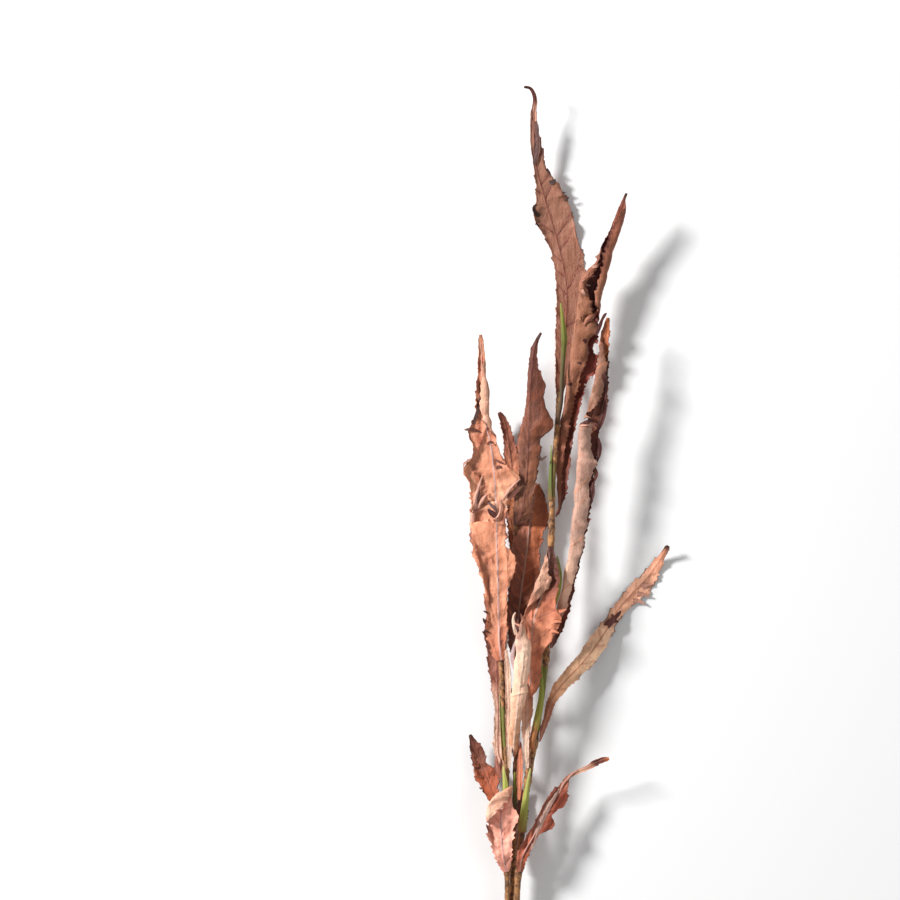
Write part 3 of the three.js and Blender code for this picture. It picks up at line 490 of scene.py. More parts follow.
leaf("centre_dark", "dark_brown", 41, [
    seat("middle", 374, 0, 3, 3, -40), (9.5, 387, 28.5, 8, 9.5, -4, -4), (13, 407, 31.5, 7.5, 8, -18, -18),
    (15, 426, 33.5, 7, 9, -26, -20), (16, 444, 35, 9.5, 11.5, -30, -20), (16.5, 462, 36, 10, 13, -30, -22),
    (17, 475, 37, 6.5, 23.5, -26, -22), (17.5, 489, 37.5, 4.5, 17, -26, -22),
    (18, 503, 38, 3.2, 13, -24, -24), (18.5, 515, 38.5, 3.2, 14.5, -24, -24),
    (19.5, 532, 39, 3, 6, -24, -30), (22, 550, 40, 3, 3, -10, -20), (25, 559, 40.5, 2.2, 1.6),
    (29, 567, 41, 1.1, 1.1)],
    teeth=2, ruffle=7, waves=4, vein_gap=18, vein_strength=0.7, vein=(102, 56, 42), rib=(96, 48, 38),
    tip_from=0.965, wrinkle=1.2, blotch=0.5, blotch_colour=(84, 44, 32), fine_teeth=1.8,
    stain_colour=(84, 50, 40), rows_each=3,
    upper=[(0, (85, 46, 29)), (0.2, (127, 77, 50)), (0.45, (129, 72, 45)), (0.6, (119, 61, 38)),
        (0.85, (105, 49, 29)), (0.94, (78, 31, 18)), (1, (56, 21, 13))],
    lower=[(0, UMBER_DARK), (1, UMBER_DARK)],
    stains=[(11, 440, 4, 40, 6, 0.5, -1), (18, 470, 3, 30, 2, 0.5, 1), (24, 490, 5, 12, 0, 0.45, 1)],
    creases=[(20, 470, 40, 492, 2.4, 1.1, 1), (8, 455, 14, 420, 2.4, 1, -1)])
leaf("centre_back", "dark_brown", 53, [
    seat("middle", 238, 0, 3, 3, -40), (5, 258, 24.6, 7.4, 6.6, -14, -8), (6.5, 281, 22.8, 11, 10, -4, -2),
    (9, 306, 21, 12, 12.5, 6, 4), (13, 334, 20.5, 12.5, 13.5, 6, -8), (16, 358, 18.6, 13, 12.5, 2, -12),
    (18.5, 380, 16.2, 5.4, 17, 0, -18), (21, 397, 15.6, 4, 14, 0, -16), (24.5, 410, 15, 3, 7, 4, -6),
    (27, 416, 15, 1.1, 1.1)],
    teeth=2.2, ruffle=6, waves=3, vein_gap=15, vein_strength=0.5, vein=(188, 112, 78), rib=(150, 120, 106),
    tip_from=0.985, wrinkle=1.2, fine_teeth=1.8, rows_each=3,
    upper=[(0, (104, 60, 42)), (0.3, (112, 66, 48)), (0.55, (126, 76, 58)), (0.8, (148, 86, 62)),
        (1, (207, 114, 74))],
    right_upper=[(0, (84, 42, 28)), (0.3, (96, 48, 30)), (0.55, (145, 76, 44)), (0.82, (168, 92, 54)),
        (1, (146, 78, 46))],
    lower=[(0, UMBER_DARK), (1, UMBER)],
    creases=[(18, 380, 22, 310, 1.4, -1, 1)],
    stains=[(18.5, 380, 1.6, 40, 4, 0.8, 1)])
leaf("centre_curled", "dark_brown", 61, [
    seat("middle", 335, 180, 3, 3, 36), (4, 365, 6, 7, 6, 14, 14), (3, 400, 2, 7.7, 7.7, 14, 14),
    (0, 436, 0.3, 6.8, 7.7, 10, 10), (-3.5, 460, 3.5, 4.5, 5, 24, 24), (-7, 478, 9.5, 4.5, 3.5, 40, 40),
    (-13, 488, 16, 1.4, 1.4)],
    teeth=2.4, ruffle=10, waves=3, vein_gap=17, vein_strength=0.4, rib=UMBER, tip_from=1.2, wrinkle=1.2,
    fine_teeth=2.6,
    upper=[(0, (116, 72, 52)), (0.45, (196, 124, 84)), (0.75, (150, 92, 72)), (1, (118, 66, 52))],
    lower=[(0, UMBER_DARK), (1, UMBER)])
leaf("left_broad", "salmon", 71, [
    seat("left", 240, 0, 5, 4, -30), (-12.5, 256, 34.5, 10.5, 6, -6, -4), (-13.5, 285, 35, 12, 8, 14, 10),
    (-14, 312, 35.5, 13, 9, 16, 12), (-14.5, 334, 36, 18.5, 17.5, 14, 14), (-15.5, 354, 37, 24, 10, 12, 10),
    (-15.5, 369, 38, 25.5, 9, 2, 2), (-15.5, 377, 35.5, 25.5, 8.5), (-15.5, 371, 32.5, 24, 8.5),
    (-15.5, 378, 29.5, 24, 8.5), (-16, 396, 31, 25, 10, 12, 8), (-17, 412, 33, 24.5, 16, 18, 12),
    (-17.5, 421, 34, 26, 24.5, 20, 10), (-18.5, 432, 35.5, 30.5, 14, 22, 16),
    (-20, 446, 37, 19.5, 9, 20, 20, 0, 0, 0.5), (-22.5, 460, 38, 17.5, 7.4, 20, 14, 0, 0, 1.4),
    (-25.5, 472, 39, 19, 6, 20, 20, 0, 0, 3.4), (-27.5, 485, 40, 10, 5.5, 30, 16, 0, 0, 7),
    (-29, 502, 41.5, 7, 5, 50, 16, 0, 0, 7), (-30, 524, 43, 4, 4, 50, 16, 0, 0, 3.4),
    (-30.5, 546, 45, 3, 3, 60, 60), (-31.5, 565, 47, 1.4, 1.4)],
    teeth=2.2, ruffle=6, waves=7, vein_gap=26, vein_strength=0.3, vein=(206, 126, 104), rib=LILAC,
    tip_from=0.99, rib_width=0.9, wrinkle=1.3, blotch=0.3, blotch_colour=(186, 98, 66), fine_teeth=2,
    stain_colour=(136, 66, 42),
    upper=[(0, (180, 108, 79)), (0.07, (205, 130, 99)), (0.18, (215, 146, 112)), (0.4, (213, 140, 107)),
        (0.5, (235, 171, 136)), (0.6, (207, 139, 107)), (0.74, (197, 128, 99)), (0.84, (179, 114, 86)),
        (1, (182, 126, 99))],
    lower=[(0, (160, 92, 64)), (0.5, (190, 124, 94)), (0.75, (212, 160, 134)), (1, (202, 148, 120))],
    stains=[(-34, 424, 5, 14, -30, 0.6, -1), (-28, 408, 6, 9, 0, 0.6, -1), (-36, 432, 6, 5, 0, 0.4, -1),
        (-33, 462, 2.6, 11, 0, 0.85, -1), (-33, 492, 3, 12, 12, 0.9, -1), (-30, 400, 4, 6, 0, 0.8, -1),
        (-34, 384, 6, 6, 40, 0.55, -1), (-39, 360, 3, 14, -8, 0.5, -1), (-33, 340, 3, 16, -12, 0.6, -1),
        (-24, 320, 3, 36, 4, 0.4, -1), (-8, 384, 3, 14, 0, 0.6, 1), (-6, 430, 6, 3, -30, 0.5, 1),
        (-25, 300, 3, 40, 6, 0.6, -1), (-4, 300, 2.4, 34, -2, 0.5, 1), (-12, 270, 2, 26, 0, 0.4, 1),
        (-30, 388, 9, 4, -20, 0.5, 0), (-27, 330, 2.4, 30, 6, 0.5, -1), (-13, 320, 1.6, 40, 0, 0.35, -1)],
    creases=[(-46, 436, -30, 418, 1.3, 2.2, -1), (-31, 426, -24, 398, 1.4, -2.4, -1),
        (-40, 380, -12, 368, 1.2, 2.2, 0), (-40, 390, -18, 400, 1.8, -2.4, -1),
        (-26, 474, -36, 446, 1.6, 2, -1), (-10, 448, 4, 420, 1.4, 2, 1), (-20, 440, -8, 404, 1.8, 1.4, 0),
        (-30, 412, -18, 396, 1.2, 2, -1), (-38, 356, -24, 300, 1.3, 1.8, -1),
        (-7, 362, -2, 290, 1.3, 1.6, 1), (-24, 340, -22, 280, 1.4, -1.6, -1),
        (-30, 290, -24, 250, 1.4, 1.6, -1)])
leaf("left_back", "rosy_brown", 83, [
    seat("left", 126, 180, 3, 3, 40), (-13, 145, 18.5, 3.8, 3.4, 20, 20), (-14, 162, 15, 3.8, 4, 14, 14),
    (-13.5, 190, 10, 3.4, 4.2, 14, 14), (-15, 220, 4, 6, 6, 8, 8), (-16, 248, 0.3, 8, 8, 6, 6),
    (-17, 274, 2, 9.7, 7, 30, 14), (-18, 298, 6, 3, 3, 40, 10), (-17, 310, 9, 1.2, 1.2)],
    teeth=2, ruffle=8, waves=3, vein_gap=19, vein_strength=0.3, rib=VEIN_BROWN, tip_from=0.93,
    fine_teeth=1.8, burn=0.6,
    upper=[(0, (196, 136, 108)), (0.12, (226, 182, 158)), (0.3, (224, 180, 156)), (0.5, (150, 92, 74)),
        (0.75, (110, 62, 50)), (1, UMBER)],
    lower=[(0, UMBER), (1, RED_BROWN)])
leaf("centre_toothed", "salmon", 97, [
    seat("middle", 190, 0, 3, 3, -40), (17.5, 214, 32, 5, 8, 6, 6), (18, 232, 37, 7, 10.5, 8, 8),
    (18.5, 250, 40, 8, 12.5, 10, 10), (20, 266, 42, 8.5, 21, 12, 12), (22, 280, 43, 9, 25.5, 14, 14, 0, 0.6),
    (25, 292, 43, 9.3, 25, 20, 16, 0, 2), (29, 303, 43, 9, 16, 20, 30, 0, 9),
    (33, 317, 43, 8.5, 14, 20, 40, 0, 12.5), (35.5, 331, 43.5, 6.8, 10.5, 20, 50, 0, 7),
    (37.5, 344, 44, 4.6, 5.5, 20, 40, 0, 1.7), (38, 354, 45, 2, 2)],
    teeth=3.2, ruffle=7, waves=4, roll=3.4, round=3, vein_gap=17, vein_strength=0.4, rib=(172, 146, 134),
    tip_from=0.99, wrinkle=1.6, lip=40, fine_teeth=2.6, stain_colour=(140, 72, 46), rows_each=3,
    # The upper face's dark brown towards the tip is partly the leaf's brown and partly painted shade inside
    # the roll
    upper=[(0, (161, 86, 59)), (0.2, (194, 115, 83)), (0.5, (212, 133, 99)), (0.62, (192, 115, 85)),
        (0.68, (108, 49, 31)), (0.75, (74, 32, 20)), (1, (59, 26, 18))],
    right_upper=[(0, (161, 86, 59)), (0.2, (194, 115, 83)), (0.5, (212, 133, 99)), (0.62, (200, 122, 90)),
        (0.7, (182, 105, 75)), (0.78, (108, 51, 33)), (1, (59, 26, 18))],
    lower=[(0, (169, 104, 79)), (0.6, (184, 131, 106)), (0.8, (194, 146, 121)), (1, (179, 126, 102))],
    holes=[(39, 271, 1.5, 1.5, 0, 1, 1)],
    stains=[(21, 300, 4, 10, 10, 0.5, -1), (30, 286, 3, 16, 30, 0.5, 1), (44, 276, 3, 8, 40, 0.5, 1)],
    creases=[(26, 300, 50, 288, 2, 1.2, 1), (24, 284, 44, 272, 2, -1.2, 1), (22, 270, 40, 256, 2.2, 1.2, 1)])
leaf("front_rolled", "pale", 101, [
    seat("middle", 143, -55, 2.4, 2.4, -30), (2, 160, 36, 4, 4, -100, -100),
    (4, 182, 46, 5.5, 5.5, -140, -140), (6.5, 207, 52, 6.2, 6.4, -158, -158),
    (10, 232, 55, 6.6, 7, -162, -162), (11, 252, 56.5, 6.2, 7, -162, -162),
    (8.5, 266, 57.5, 4.8, 5.4, -162, -162), (7, 277, 58, 4.6, 4.6, -160, -160)],
    teeth=0.8, ruffle=4, waves=3, slant=10, vein_gap=24, vein_strength=0.25, vein=(220, 170, 146),
    rib=(226, 192, 170), tip_from=1.2, wrinkle=0.9, lip=20, blotch=0.3, blotch_colour=(200, 136, 100),
    burn=0.5, fine_teeth=1.6, stain_colour=(150, 112, 104), rows_each=3,
    upper=[(0, (184, 120, 84)), (0.25, (214, 158, 124)), (0.45, (222, 176, 148)), (0.8, (226, 186, 160)),
        (0.97, (206, 154, 126)), (1, (180, 118, 90))],
    # The lower face's dark brown is partly the leaf's own and partly painted shade inside the tube
    lower=[(0, (90, 44, 32)), (1, (96, 44, 34))],
    stains=[(8, 262, 2.4, 20, 4, 0.5, -1)],
    creases=[(-1, 205, 14, 210, 1, 1.2, 0), (2, 262, 14, 250, 1.6, 1, 0), (4, 240, 8, 216, 1.8, 0.9, 0)])
leaf("front_strip", "pale", 107, [
    seat("right", 134, -25, 2.4, 2.4, -30), (14, 158, 35, 2.8, 2.8, 20, 20), (14, 178, 37, 4, 4.4, 30, 30),
    (14.5, 195, 38, 4.6, 6, 30, 30), (14.8, 207, 38.5, 4, 3.8, 30, 30), (15, 216, 39, 1.5, 1.5)],
    teeth=1, ruffle=6, waves=2, vein_gap=20, vein_strength=0.3, rib=(190, 150, 130), tip_from=0.97,
    upper=[(0, (196, 140, 110)), (0.6, (216, 158, 128)), (1, (198, 126, 98))],
    lower=[(0, RED_BROWN), (1, RED_BROWN)])
leaf("right_low", "pale", 113, [
    seat("right", 158, 85, 3, 3, 10), (33.5, 180, 28, 2.4, 3.4, -20, -20, 10),
    (41, 202, 27, 4, 4.4, -40, -40), (51, 216, 25, 6.2, 6.2, -60, -50), (67, 233, 21.5, 7.2, 7.4, -70, -60),
    (81, 249, 17, 7.8, 7.8, -70, -60), (91, 263, 13, 7.4, 7.2, -60, -60), (99, 277, 9, 5.6, 6.2, -50, -50),
    (108, 291, 5.5, 5, 6, -40, -30), (121, 306, 2.6, 5.8, 9, -30, -12), (133, 318, 1.6, 5.8, 10, -20, -6),
    (142, 330, 2.2, 4.6, 6, -20, -10), (150, 342, 6, 3, 3.4, -10, -10), (157, 354, 14, 1.6, 1.6)],
    teeth=3, ruffle=6, waves=5, vein_gap=26, vein_strength=0.6, vein=(198, 132, 104), rib=(184, 124, 96),
    tip_from=0.965, fine_teeth=2, stain_colour=(140, 86, 62),
    upper=[(0, (140, 74, 54)), (0.16, (178, 104, 76)), (0.21, (248, 180, 136)), (0.4, (255, 206, 164)),
        (0.56, (255, 202, 166)), (0.66, (246, 182, 146)), (0.8, (244, 182, 150)), (0.92, (217, 148, 116)),
        (1, (94, 46, 34))],
    lower=[(0, UMBER), (1, UMBER_DARK)],
    stains=[(118, 302, 10, 3, -44, 0.45, 1), (134, 317, 10, 3, -44, 0.5, 1)])
leaf("base_left", "red_brown", 127, [
    seat("left", 86, -90, 3, 3, 10), (-18, 103, 22, 6, 5, 14, 14, -10), (-23.5, 117, 19, 8.5, 10, 18, 18),
    (-28, 128, 16.5, 9.4, 10, 20, 20), (-30.5, 135, 15.5, 8, 5, 20, 20), (-34.5, 147, 15, 6, 6.5, 24, 24),
    (-39, 157, 16, 3, 3.6, 26, 26), (-42, 165, 18, 1.2, 1.2)],
    teeth=3.4, ruffle=6, waves=2, vein_gap=15, vein_strength=0.4, rib=(120, 62, 42), tip_from=0.97,
    wrinkle=1.1, fine_teeth=2.8,
    upper=[(0, (138, 68, 36)), (0.3, (166, 80, 42)), (0.52, (158, 76, 42)), (0.6, (120, 64, 44)),
        (0.85, (106, 56, 40)), (1, (76, 36, 26))],
    lower=[(0, UMBER), (1, UMBER_DARK)])
leaf("base_front", "salmon", 131, [
    seat("left", 28, -10, 3.5, 3, -36), (-8.5, 44, 33, 7.5, 8, 8, 8), (-10, 58, 36, 10.5, 10.5, 12, 10),
    (-11, 71, 38, 13.5, 13, 14, 8, 0, 0.7), (-11.5, 79, 39, 15, 19, 18, 8, 0, 1.6),
    (-11.2, 87, 40, 16, 17.5, 20, 8, 0, 8), (-9.5, 96, 41.2, 14.6, 11, 20, 8, 0, 16),
    (-6.5, 104, 42.6, 10.6, 6.5, 20, 8, 0, 12), (-3, 110, 44, 5.5, 3, 20, 10, 0, 5),
    (-0.5, 115, 45, 1.4, 1.4, 20, 10, 0, 0.9)],
    teeth=2.4, ruffle=5, waves=3, vein_gap=17, vein_strength=0.45, vein=(190, 104, 90), rib=(176, 136, 134),
    tip_from=0.995, wrinkle=1.3, rib_width=1, blotch=0.3, blotch_colour=(190, 104, 76), fine_teeth=2.8,
    stain_colour=(160, 88, 62),
    upper=[(0, (222, 142, 120)), (0.3, (255, 182, 160)), (0.7, (247, 167, 143)), (1, (222, 156, 127))],
    lower=[(0, (188, 128, 104)), (0.7, (222, 174, 148)), (1, (196, 140, 112))],
    cuts=[(-23.5, 77.5, 1.6, 2.2, -1, 0.8, 1), (-18, 84, 1.5, 2, -1, 0.85, 1),
        (-12.5, 90, 1.8, 2, -1, 0.82, 1), (-7, 96, 1.4, 1.8, -1, 0.85, 1)],
    stains=[(-24, 72, 3, 16, -16, 0.6, -1), (-4, 72, 3, 10, 20, 0.5, 1)],
    creases=[(-24, 84, -16, 50, 2, -1.2, -1), (-6, 84, -2, 50, 2, 1.2, 1), (-26, 70, -12, 80, 1.8, 1, -1)])
leaf("base_right", "red_brown", 137, [
    seat("right", 28, 20, 3, 3, -30), (10, 42, 32, 5, 4.6, 20, 20), (18, 58, 32, 6.5, 3.2, 30, 14),
    (23, 66.5, 31.2, 6.5, 3.6, 36, 8), (29.5, 78.5, 29, 6.5, 12.8, 42, 4),
    (32.6, 84, 28.2, 6.8, 10.8, 46, 4), (34.4, 87.2, 27.8, 7, 6.6, 50, 4), (38.5, 94.5, 26.8, 7, 8.4, 50, 6),
    (43, 101, 26, 6.5, 11.5, 50, 6), (50, 112, 25.5, 3.6, 6, 40, 20), (56, 122, 27, 2, 2, 30, 30),
    (65, 128, 29.5, 2, 2.2, 30, 30), (76, 133, 32, 2.2, 2.4, 30, 30), (86, 139, 33.5, 3, 3, 40, 30),
    (97, 142, 35, 1.2, 1.2)],
    teeth=2.2, ruffle=5, waves=4, vein_gap=16, vein_strength=0.45, rib=(176, 130, 116), tip_from=1.2,
    wrinkle=1.2, fine_teeth=2.2, stain_colour=(124, 92, 82),
    upper=[(0, (189, 105, 78)), (0.15, (166, 85, 61)), (0.33, (140, 70, 49)), (0.6, (127, 61, 43)),
        (0.69, (186, 122, 91)), (0.8, (220, 167, 138)), (0.86, (186, 122, 95)), (0.89, (98, 47, 34)),
        (0.96, (127, 63, 43)), (1, (210, 119, 69))],
    right_upper=[(0, (163, 82, 47)), (0.15, (142, 64, 34)), (0.33, (133, 57, 30)), (0.6, (122, 49, 25)),
        (0.69, (169, 103, 72)), (0.8, (211, 160, 128)), (0.86, (179, 117, 88)), (0.89, (94, 45, 32)),
        (0.96, (122, 60, 40)), (1, (201, 114, 64))],
    lower=[(0, (150, 86, 66)), (0.4, (190, 150, 140)), (0.6, (176, 136, 126)), (1, (190, 140, 112))],
    creases=[(10, 44, 44, 96, 1.6, 1.3, -1), (16, 40, 48, 88, 1.6, -1.1, 1), (30, 86, 46, 84, 1.6, 1, 0)],
    stains=[(36, 88, 9, 3.4, -60, 0.6, -1)])
leaf("base_back", "dark_brown", 139, [
    seat("middle", 34, 180, 3, 3, 36), (4, 54, 9, 6, 6, 20, 20), (7, 74, 6, 7, 7, 14, 14),
    (11, 94, 5, 5, 5, 20, 20), (14, 110, 7, 1.4, 1.4)],
    teeth=1.6, ruffle=6, waves=2, vein_gap=15, vein_strength=0.3, rib=UMBER_DARK, tip_from=0.95,
    upper=[(0, UMBER_DARK), (1, (120, 66, 50))],
    lower=[(0, UMBER_DARK), (1, UMBER_DARK)])

# Slender sheaths, which leave their stem as narrow, pointed blades: name, seed, green, foot and the rest
SLENDER_SHEATHS = [
    ("sheath_tall", 3, "fresh", seat("right", 476, -12, 2.2, 2.2, -40), [
        (49, 498, 33.5, 1.8, -40), (50, 522, 33, 1.8, -40), (51.3, 544, 30.5, 2.2, -36),
        (52.2, 562, 27, 3, -36), (50.8, 580, 22.5, 1.7, -30), (49, 597, 18, 0.7)]),
    ("sheath_mid_right", 5, "yellow", seat("right", 284, 35, 2.4, 2.4, -40), [
        (43.3, 300, 38.8, 2.4, -30), (46.5, 314, 40.2, 2.6, -30), (47, 328, 40.5, 2.3, -30),
        (45, 344, 40.5, 0.7)]),
    ("sheath_right", 7, "yellow", seat("right", 150, -20, 2.8, 2.8, -50), [
        (20, 158, 34.8, 2.9, -50), (23.5, 174, 34.8, 3.1, -46), (27, 189, 34.8, 3.2, -40),
        (29.3, 203, 34.6, 2.6, -36), (29.6, 218, 34.1, 1.8, -30), (29.3, 236, 34.2, 1.2),
        (29, 252, 34.4, 0.6)]),
]

# Curls, teeth and torn scraps that stand out from a leaf
SCRAPS = []
scraps("tall_flat", "tip_flap", GREY_PURPLE, UMBER, 1.4, [
    (24, 779, 24, 0.8, 20), (25.5, 772, 24.1, 1.6, 20, 2.4), (25, 766, 22.4, 2, 20, 1.6),
    (26, 759, 21.4, 2.4, 20, 3.6), (25.5, 750, 19.4, 2.6, 20, 4), (23.5, 742, 18, 2, 20, 1.6),
    (22.5, 736, 16.1, 0.6)])
scraps("tall_flat", "left_hook", SCORCHED, SCORCHED, 0, [
    (28, 685, 6, 1.5, 30), (24.5, 687.5, 8.1, 2, 60), (22, 692, 10.2, 1.6, 60), (23, 695.5, 11, 1.1, 50),
    (26, 696, 10, 0.5)])
scraps("tall_flat", "tooth", SCORCHED, UMBER, 0, [
    (34.5, 732, 14.8, 1.4), (37, 729, 14.9, 1.2), (39, 726, 14.1, 0.5)], [
    (38, 718, 10.9, 2, 20), (41.5, 719.5, 12.3, 1.8, 20, 2.2), (44, 721.5, 12.9, 0.6)], [
    (50, 707.5, 8.7, 1.2), (52.5, 708.5, 9.4, 0.9), (54, 708, 9.4, 0.4)], [
    (53.5, 700, 7.7, 1.4), (56, 702.5, 9.2, 1.1), (57, 704.5, 9.5, 0.4)], [
    (27, 675, 6, 1), (25, 677, 7.1, 0.9), (23.5, 676.5, 7.1, 0.4)])
scraps("right_rolled", "dark_tooth", MAROON_DARK, UMBER, 0.8, [
    (84, 564, 48.3, 1, 30), (87, 573, 48.4, 1.9, 30), (89.5, 580, 50.7, 1.2, 30, 1.4),
    (92, 584, 52.4, 1.7, 30, 1.4), (94, 586.5, 52.9, 0.5)])
scraps("right_rolled", "dark_lobe", MAROON_DARK, UMBER, 1.2, [
    (76.5, 395, 43.9, 1.2, 20), (78.5, 403, 42, 2.6, 30, 3), (80, 411, 43, 2.2, 30, 2.6),
    (81, 418, 43.2, 0.7)])
# Partly the roll's ragged right margin, partly painted shade inside the roll
scraps("right_rolled", "dark_edge", MAROON_DARK, HOLLOW_BROWN, 1.8, [
    (85, 468, 42.6, 0.8, 10), (87.5, 476, 43, 2.4, 20, 2.8), (90.5, 486, 43.4, 2.6, 20, 3),
    (93, 498, 43.9, 2, 20), (94, 508, 44.3, 0.6)])
# Painted shadows: dark flecks where torn bits shade the blade below them
scraps("left_broad", "fleck", HOLLOW_BROWN, UMBER, 0.8, [
    (-25, 455.5, 38.9, 0.6), (-22, 458, 39.8, 1.3, 20, 1), (-18.5, 457, 39.4, 0.9, 20),
    (-16, 454, 39.2, 0.5)], [
    (-16.5, 440.5, 37.5, 0.6), (-14.5, 439, 38.1, 1.3, 20, 1), (-11, 437.5, 38.6, 0.9, 20),
    (-8, 436.5, 38.8, 0.5)])
scraps("left_broad", "fleck_c", HOLLOW_BROWN, SALMON, 0.8, [
    (-20, 430.5, 36.6, 0.7), (-16.5, 431.5, 37.2, 1.6, 20, 1.2), (-12.5, 433, 37.4, 1.8, 20, 1.4),
    (-8.5, 431, 37.1, 0.6)])
scraps("left_broad", "left_free_edge", UMBER, HOLLOW_BROWN, 1.0, [
    (-47.5, 470, 42.6, 0.6), (-43, 470.5, 43, 1.3, 60), (-37, 470, 41.5, 1.2, 60), (-30, 467, 40.1, 0.6)])
# Painted shade: a dark sheet in the hollow of the left margin's roll
scraps("left_broad", "left_dark_roll", UMBER_DARK, HOLLOW_BROWN, 1.2, [
    (-39, 476, 42, 0.8, 20), (-36, 484, 43.3, 1.7, 60), (-33, 493, 43.6, 1.6, 60), (-32, 503, 43.4, 0.6)])
scraps("left_broad", "left_tooth", SCORCHED, UMBER, 0, [
    (-24.5, 287.5, 36.8, 1), (-27, 288.5, 37.4, 0.8), (-28.5, 289.5, 37.8, 0.4)], [
    (-24, 276.5, 35.8, 1.8, 20), (-27, 278.5, 37, 1.6, 40), (-29, 282, 37.6, 0.6)], [
    (-23, 268, 35.3, 1), (-26, 269, 35.8, 0.8), (-28, 270.5, 35.9, 0.4)])
scraps("centre_dark", "flick", UMBER_DARK, UMBER_DARK, 0, [
    (26, 444, 35.6, 2, 10), (29.5, 440.5, 35.5, 1.3, 20), (34.5, 444, 36.3, 0.5)])
scraps("centre_toothed", "toothed", SALMON_DEEP, UMBER, 0, [
    (44, 288, 48.5, 2.4), (49, 289.5, 50.2, 1.6, 20), (54, 291.5, 50.8, 0.5)], [
    (41, 279, 47.4, 2.2), (45, 279.5, 49.3, 1.5, 20), (49, 278.5, 49.7, 0.5)], [
    (38, 270, 46.3, 2.4), (42, 269.5, 47.9, 1.5, 20), (46.5, 267.5, 48.3, 0.5)])
scraps("right_low", "star_low", MAROON_DARK, UMBER, 1.6, [
    (92.5, 274.5, 10.2, 0.6), (96, 276.5, 11.2, 2.6, 20), (101, 278.5, 10.9, 3, 20, 2.6),
    (107, 277.5, 6.9, 0.5)])
scraps("right_low", "star_tall", MAROON_DARK, UMBER, 1.4, [
    (97, 271, 11.7, 0.5), (99, 276, 12, 2.2, 20, 2.4), (101.5, 281, 10.9, 2.4, 20), (100.5, 285, 8.3, 0.6)])
scraps("right_low", "star_side", MAROON_DARK, UMBER, 1.0, [
    (101, 278, 10.8, 1.4), (104.5, 282.5, 9.3, 1.6, 20, 1.8), (108, 286, 7.7, 1.6, 20, 1.4),
    (109.5, 288.5, 6.8, 0.5)])
scraps("right_low", "low_tooth", ROSE_BROWN, UMBER, 0.6, [
    (131, 313, 2.7, 3, 10, 2.6), (136.5, 314.5, 3, 1.9, 10, 1.8), (141.5, 315, 3.1, 0.4)], [
    (126, 305, 3.2, 3, 10), (133, 304.5, 3.3, 1.9, 10, 1.8), (139, 303, 3.4, 0.4)], [
    (122, 298.5, 3.7, 3, 10, 2.4), (128.5, 298, 3.4, 1.9, 10, 1.8), (134, 295, 3.6, 0.4)])
scraps("left_back", "left_scrap", RED_BROWN, UMBER, 1.4, [
    (-11.5, 121, 24, 1.2, 10), (-13.5, 129, 24, 3, 20, 2), (-15.2, 138, 24, 1.8, 10, 1.4),
    (-16, 144, 24, 0.6)])
scraps("front_strip", "pale_strip", TORN_PALE, RED_BROWN, 0.5, [
    (15.5, 132, 33, 1.4, 20), (14, 147, 35, 2.8, 30), (14.5, 163, 36.5, 2.6, 30, 2.4), (16.5, 176, 37, 0.7)])
scraps("left_broad", "strip_left", TORN_PALE, RED_BROWN, 0.8, [
    (-3, 132, 30, 1.2, 20), (-3, 150, 31.5, 2.2, 40), (-3.5, 172, 33, 2.6, 40, 2.4),
    (-3.5, 200, 34, 2.8, 40, 2.6), (-4.5, 228, 34.5, 2.6, 30), (-6, 250, 34.5, 1.6, 10)])
scraps("front_strip", "strip_middle", SALMON_DEEP, RED_BROWN, 0.8, [
    (7, 100, 27, 1.2, 20), (7.5, 115, 28, 2.4, 40, 2.6), (8, 132, 29, 2.8, 40), (8.5, 148, 30, 1.8, 20),
    (8.5, 158, 30, 0.6)])
scraps("tall_rolled", "curled_lip", LIP_BROWN, MAROON, 2.0, [
    (72, 574, 32.2, 0.8, -30), (75, 580, 32.4, 1.6, -50, 2.2), (79.5, 583.5, 32.1, 1.8, -50, 2.6),
    (84, 587, 24.7, 1.2, -50, 1.8), (87.5, 592, 29.5, 0.5)])
scraps("tall_rolled", "flap_tooth", ROSE_BROWN, MAROON_DARK, 0, [
    (84, 642, 31.2, 1.6, 10), (88, 646, 29.9, 1.2, 20, 1.3), (89, 652, 32.5, 0.5)], [
    (80, 633, 34.2, 1.8, 10), (85, 634, 35.3, 1.3, 20), (88.5, 637.5, 28.7, 0.5)], [
    (76, 626, 35.1, 1.6, 10), (79.5, 624, 26.9, 1.2, 20), (83.5, 624.5, 27.2, 0.5)], [
    (71, 619, 34.8, 1.8, 10), (74.5, 615.5, 26.4, 1.4, 20), (79, 614.5, 26.2, 0.5)], [
    (69.5, 610, 33.2, 1.8, 10), (72.5, 605.5, 34.1, 1.3, 20), (76.5, 604, 25.4, 0.5)])
scraps("left_broad", "left_curl", TORN_PINK, UMBER, 2.2, [
    (-40.5, 378, 35.6, 1.6, -20, 2), (-39.5, 387, 33.3, 2, -50, 3), (-38, 396, 34.7, 2.4, -70, 3.8),
    (-36.5, 403, 35.4, 2, -80, 2.6), (-34, 411, 36.6, 0.9, -50, 1.2), (-31.7, 418, 36.9, 0.7, -30, 0.8),
    (-29.8, 424.5, 36.5, 0.4)])
scraps("left_broad", "left_curl_fold", TORN_PINK, HOLLOW_BROWN, 2.4, [
    (-34, 392, 32.6, 0.8), (-31.5, 397, 33.9, 1.6, -50, 1.4), (-28.5, 401, 34.6, 2, -60, 1.2),
    (-25.5, 405.5, 34, 0.5)])
